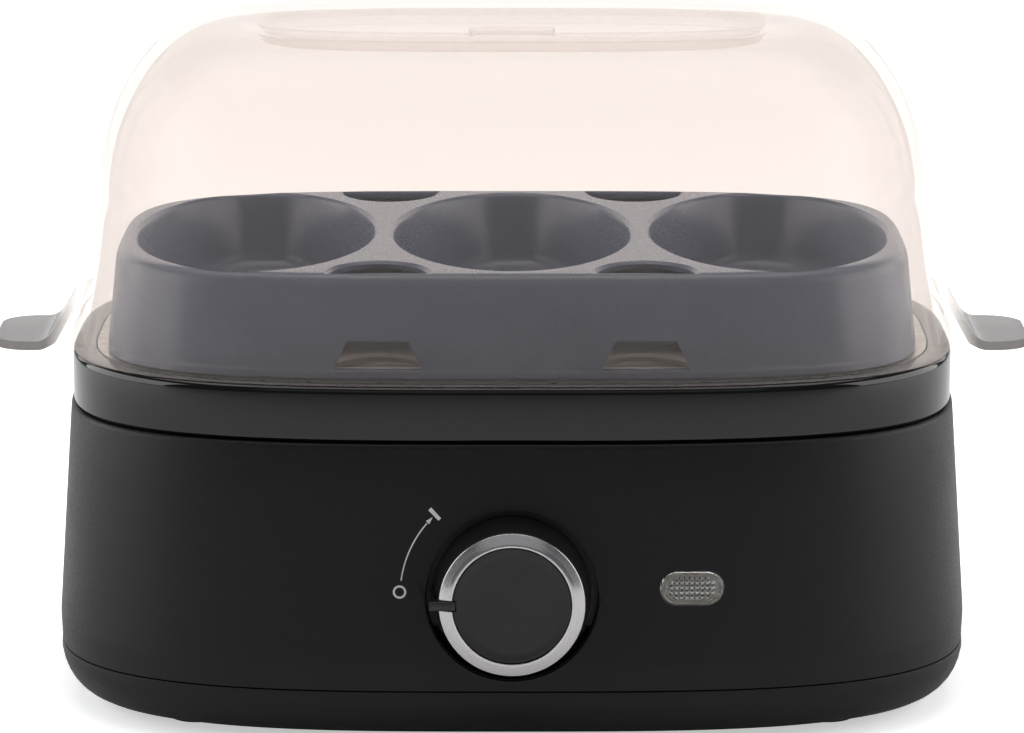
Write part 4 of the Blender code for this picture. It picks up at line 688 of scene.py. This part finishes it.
def make_marks(finish):
    """Off ring at nine o'clock, an arc with an arrow head, and the bar for on."""
    axis = (0.0, KNOB_Z)
    reach = 29.2 * MM
    off = (-reach, KNOB_Z + 0.8 * MM)
    lay_on_wall(swept_stroke("mark_off", off, 1.2 * MM, 1.75 * MM, 0.0, math.tau, 40), finish)
    first, last = math.radians(172.5), math.radians(139.5)
    lay_on_wall(swept_stroke("mark_arc", axis, reach - 0.35 * MM, reach, last, first - last, 40), finish)
    deselect()
    bpy.ops.mesh.primitive_circle_add(vertices=3, radius=1.15 * MM, fill_type="NGON", location=(0, 0, 0))
    head = bpy.context.object
    head.name = head.data.name = "mark_arrow"
    tip = math.radians(137.6)
    towards = tip - math.pi / 2
    for vertex in head.data.vertices:
        along, across = vertex.co.y * 1.15, vertex.co.x * 0.62
        right = along * math.cos(towards) - across * math.sin(towards)
        up = along * math.sin(towards) + across * math.cos(towards)
        vertex.co = (math.cos(tip) * (reach - 0.2 * MM) + right, 0,
                     KNOB_Z + math.sin(tip) * (reach - 0.2 * MM) + up)
    lay_on_wall(head, finish)
    bar = math.radians(180 - 46.8)
    lay_on_wall(swept_stroke("mark_on", axis, reach - 1.9 * MM, reach + 1.9 * MM,
                             bar - 0.017, 0.034, 2), finish)


# ---- trays ---------------------------------------------------------------------------------------------
def steam_tool(name, x, side, low, high, flare):
    """Half-round tool, flat side towards the tray's edge, opening out at its top."""
    deselect()
    bpy.ops.mesh.primitive_circle_add(vertices=64, radius=1.0, fill_type="NGON", location=(0, 0, 0))
    tool = bpy.context.object
    tool.name = name
    for vertex in tool.data.vertices:
        across, along, _ = vertex.co
        back = 17 * MM * max(0.0, along) - 0.4 * MM * min(0.0, along)
        vertex.co = (x + 13 * MM * across, side * (STEAM_FLAT - back), low)
    bpy.ops.object.mode_set(mode="EDIT")
    bpy.ops.mesh.select_all(action="SELECT")
    centre = (x, side * (STEAM_FLAT - 7 * MM), 0)
    for up, scale in ((high - flare - low, 1.0), (0.3 * flare, 1.02), (0.7 * flare, 1.07), (3 * MM, 1.0)):
        bpy.ops.mesh.extrude_region_move(TRANSFORM_OT_translate={"value": (0.0, 0.0, up)})
        bpy.ops.transform.resize(value=(scale, scale, 1.0), center_override=centre)
    close_up()
    return tool


def steam_holes(tray, low, high):
    for x in (-PITCH / 2, PITCH / 2):
        for side in (-1, 1):
            shape(tray, steam_tool("steam_hole", x, side, low, high, 0.8 * MM), "DIFFERENCE", smooth=30)


def well_levels(profile):
    return [(WELL_X + across, WELL_Y + across, up) for across, up in profile]


def make_poaching_tray(finish):
    top = tray_high.z / MM
    outside = soften([(30.0, top, 0), (17.0, top, 3.6), (14.2, 95.5, 0.4), (16.2, 95.5, 0.4),
                      (19.0, top - 2, 2.0), (30.0, top - 2, 0)], steps=8)
    tray = draw_up("poaching_tray_shell", insets(outside), power=TRAY_POWER, smooth=30)
    for x in (-PITCH, 0.0, PITCH):
        cup = [(-12.0, 100.5, 0), (-3.2, 100.5, 5.0), (1.8, top - 1.0, 0)]
        outer = draw_up("well_outside", well_levels(soften(cup, steps=6)), 2.0, x, points=96)
        shape(tray, outer, "UNION", smooth=30)
    for x in (-PITCH / 2, PITCH / 2):
        for y in (-21, 21):
            web = block("well_web", (x - 9 * MM, (y - 1) * MM, 107.5 * MM),
                        (x + 9 * MM, (y + 1) * MM, (top - 1) * MM))
            shape(tray, web, "UNION", smooth=30)
    for x in (-PITCH, 0.0, PITCH):
        bowl = [(-13.0, 102.3, 0), (-5.0, 102.3, 7.0), (0.0, top - 1.6, 0.5), (0.35, top - 0.7, 0.4),
                (1.3, top, 0.4), (1.6, top + 3, 0)]
        inner = draw_up("well_inside", well_levels(soften(bowl, steps=6)), 2.0, x, points=96)
        shape(tray, inner, "DIFFERENCE", smooth=30)
    steam_holes(tray, 107.0 * MM, tray_high.z)
    for x in (-PITCH / 2, PITCH / 2):
        window = block("skirt_window", (x - 11.5 * MM, -HALF_Y, 97.9 * MM),
                       (x + 11.5 * MM, HALF_Y, 105.3 * MM))
        for vertex in window.data.vertices:
            if vertex.co.z > 102 * MM:
                vertex.co.x = x + (vertex.co.x - x) * 16 / 23
        shape(tray, window, "DIFFERENCE", smooth=30)
    return give(tray, finish, "poaching_tray", "tray_slate", "poaching_tray")


def make_egg_tray(finish):
    edge = soften([(26.0, 95.5, 0), (16.8, 95.5, 0.5), (16.8, 97.5, 0.9), (26.0, 97.5, 0)])
    tray = draw_up("egg_seat_tray", insets(edge), power=TRAY_POWER, smooth=30)
    seats = [(x, y * MM) for x in (-PITCH, 0.0, PITCH) for y in (-28.5, 28.5)]
    for x, y in seats:
        shape(tray, rod("seat_collar", 19 * MM, (x, y, 90.5 * MM), 6 * MM, steps=72), "UNION", smooth=30)
    for x, y in seats:
        hole = rod("seat_hole", 17 * MM, (x, y, 88 * MM), 9.5 * MM, steps=72, flare=1.0 * MM)
        shape(tray, hole, "DIFFERENCE", smooth=30)
    steam_holes(tray, 94.0 * MM, 97.5 * MM)
    return give(tray, finish, "egg_tray", "tray_pale", "egg_tray")


# ---- lid -----------------------------------------------------------------------------------------------
def make_handle(side):
    """A flat tab drawn out of the lid's wall: down a short slope, out level, and round at its tip."""
    deselect()
    neck, tip_start, tip_radius = 117.6, 130.9, 10
    bpy.ops.mesh.primitive_plane_add(size=1.0, location=(0, 0, 0))
    handle = bpy.context.object
    handle.name = "handle"
    line = soften([(115.9, 104.5, 0), (neck + 1.4, 104.3, 1.4), (neck + 3.6, 101.2, 1.0),
                   (neck + 6.6, 95.9, 1.6), (neck + 9.6, 94.0, 2.0), (tip_start, 94.0, 0)], steps=4)
    for step in range(1, 10):
        turn = math.radians(84) * step / 9
        line.append(((tip_start + tip_radius * math.sin(turn)) * MM, 94.0 * MM))
    halves = []
    for x, z in line:
        past = max(0.0, min(1.0, (x / MM - tip_start) / tip_radius))
        waist = 1.3 * math.sin(math.pi * min(1.0, max(0.0, (x / MM - 116) / 12)))
        halves.append((19.0 - waist - tip_radius * (1 - math.sqrt(1 - past * past))) * MM)
    thick = 2.4 * MM
    x, z = line[0]
    for vertex in handle.data.vertices:
        across, along, _ = vertex.co
        vertex.co = (side * x, 2 * across * halves[0], z + along * thick)
    bpy.ops.object.mode_set(mode="EDIT")
    bpy.ops.mesh.select_all(action="SELECT")
    for number in range(1, len(line)):
        new_x, new_z = line[number]
        bpy.ops.mesh.extrude_region_move(TRANSFORM_OT_translate={"value": (side * (new_x - x), 0, new_z - z)})
        slope = abs(new_z - z) / max(1e-6, abs(new_x - x))
        depth = 2.4 * MM * min(1.9, math.sqrt(1 + slope * slope))
        bpy.ops.transform.resize(value=(1.0, halves[number] / halves[number - 1], depth / thick),
                                 center_override=(side * new_x, 0, new_z))
        x, z, thick = new_x, new_z, depth
    close_up()
    deselect()
    handle.select_set(True)
    bpy.context.view_layer.objects.active = handle
    round_off = handle.modifiers.new("round_off", "BEVEL")
    round_off.width = 0.7 * MM
    round_off.segments = 3
    round_off.limit_method = "ANGLE"
    round_off.angle_limit = math.radians(50)
    bpy.ops.object.modifier_apply(modifier=round_off.name)
    return handle


def make_lid(finish):
    top = lid_high.z / MM
    turns = [math.pi / 2 * step / 18 for step in range(19)]
    outside = [(62.0, 25.0, top - 3), (66.4, 28.2, top - 3), (67.2, 28.9, top - 2.8), (68.6, 30.3, top - 0.7),
               (69.1, 30.7, top - 0.2), (69.7, 31.2, top)]
    outside += [(123.5 - 12.1 - 32 * (1 - math.sin(turn)), 84 - 12.1 - 32 * (1 - math.sin(turn)),
                 top - 45 * (1 - math.cos(turn))) for turn in turns]
    wall = soften([(12.1, top - 45, 0), (10.6, 127.0, 14), (9.0, 114.0, 10), (5.9, 99.9, 0.6),
                   (4.5, 99.1, 0.5), (4.5, 95.5, 0.3), (7.0, 95.5, 0.3), (8.4, 99.1, 3),
                   (11.5, 114.0, 10), (13.1, 127.0, 14),
                   (14.6, top - 47.5, 0)], steps=6)
    outside += [(123.5 - across / MM, 84 - across / MM, up / MM) for across, up in wall[1:-1]]
    outside += [(123.5 - 14.6 - 32 * (1 - math.sin(turn)), 84 - 14.6 - 32 * (1 - math.sin(turn)),
                 top - 2.5 - 45 * (1 - math.cos(turn))) for turn in reversed(turns)]
    outside += [(69.7, 31.2, top - 2.5), (68.6, 30.3, top - 3.2), (67.2, 28.9, top - 5.3),
                (66.4, 28.2, top - 5.5), (62.0, 25.0, top - 5.5)]
    levels = [(x * MM, y * MM, z * MM) for x, y, z in outside]
    lid = draw_up("lid_shell", levels, points=192, smooth=35)
    for side in (-1, 1):
        shape(lid, make_handle(side), "UNION", smooth=35)
    vent = rod("vent", 4.5 * MM, (0, 0, (top - 8) * MM), 6 * MM)
    shape(lid, stretch(vent, 0.0, 14.4 * MM), "DIFFERENCE", smooth=35)
    return give(lid, finish, "lid", "lid_smoke", "lid")


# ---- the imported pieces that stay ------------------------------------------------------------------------
def finish_inner_parts(materials):
    """The wiring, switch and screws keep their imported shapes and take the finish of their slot."""
    for row in frame["record"]["subparts"]:
        finish = materials.get(row["material_slot"])
        node = nodes[row["node"]]
        if finish and node:
            node.data.materials.clear()
            node.data.materials.append(finish)


def make_floor():
    """A pale sheet that shows white and keeps the cooker's shadow."""
    deselect()
    bpy.ops.mesh.primitive_plane_add(size=12.0, location=(0, 2.0, 0))
    floor = bpy.context.object
    floor.name = "studio_floor"
    sheet = bpy.data.materials.new("white_paper_sweep")
    sheet.use_nodes = True
    shader = sheet.node_tree.nodes["Principled BSDF"]
    shader.inputs["Base Color"].default_value = linear("f4f4f4")
    shader.inputs["Roughness"].default_value = 1.0
    shader.inputs["Specular IOR Level"].default_value = 0.0
    ray = add_node(sheet, "LightPath", {}, {})
    seen = add_node(sheet, "Math", {"operation": "MAXIMUM"}, {0: ray.outputs["Is Camera Ray"],
                                                             1: ray.outputs["Is Transmission Ray"]})
    glow = add_node(sheet, "Math", {"operation": "MULTIPLY"}, {0: seen.outputs[0], 1: 0.5})
    shader.inputs["Emission Color"].default_value = (1.0, 1.0, 1.0, 1.0)
    sheet.node_tree.links.new(glow.outputs[0], shader.inputs["Emission Strength"])
    floor.data.materials.append(sheet)


# ---- assembly -----------------------------------------------------------------------------------------
def main():
    studio()
    make_floor()
    casing = spark_textured_casing()
    # Polypropylene from a satin tool: the sheen is broad, and flow leaves slow clouds in the grey.
    slate = moulded("slate_polypropylene_satin", "586072", "616a7c", 0.20, 0.32, 0.4, 0.008)
    # Pale stone polypropylene, the same finish a little drier.
    pale = moulded("pale_polypropylene_satin", "d9d2cb", "e0dad4", 0.36, 0.48, 0.4, 0.008)
    # Matt black rubber: dry, with a faint bloom.
    rubber = moulded("black_rubber_matt", "1c1c1c", "262625", 0.72, 0.88, 0.5, 0.03, ior=1.52)
    silicone = moulded("grey_silicone", "8f8f8e", "999998", 0.5, 0.62, 0.6, 0.01, ior=1.41)
    # Natural nylon: milky white that yellows a little where it is thick.
    nylon = moulded("natural_nylon", "dcdad0", "e4e2da", 0.38, 0.5, 0.6, 0.01, ior=1.53)
    # Silicone sleeving on the leads: off-white and slightly tacky-looking.
    sleeve = moulded("silicone_lead_sleeve", "c4c2ba", "cecdc6", 0.5, 0.6, 0.4, 0.01, ior=1.41)
    zinc = zinc_plate()
    satin_black = satin_knob_plastic()
    lamp = clear_plastic("neon_lamp_glass", "f2c9a8", 0.03, 1.5, 3.0)
    make_bottom_cover(casing)
    make_feet(rubber)
    make_housing(casing)
    make_gland(rubber)
    make_bezel(gloss_black_band())
    steel = brushed_steel()
    make_pan(steel)
    make_knob(satin_black, satin_chrome_ring(), knob_face_plastic())
    # Clear polycarbonate lens, its face moulded in small pyramids that glitter.
    make_lens(clear_plastic("clear_polycarbonate_lens", "ffffff", 0.03, 1.58, 4.0))
    make_marks(printed_white())
    make_egg_tray(pale)
    make_poaching_tray(slate)
    make_lid(smoked_lid_plastic())
    finish_inner_parts({"zinc": zinc, "silicone": silicone, "nylon": nylon, "sheath": sleeve,
                        "rubber": rubber,
                        "lamp_glass": lamp, "pan_steel": steel, "knob_plastic": satin_black})


main()
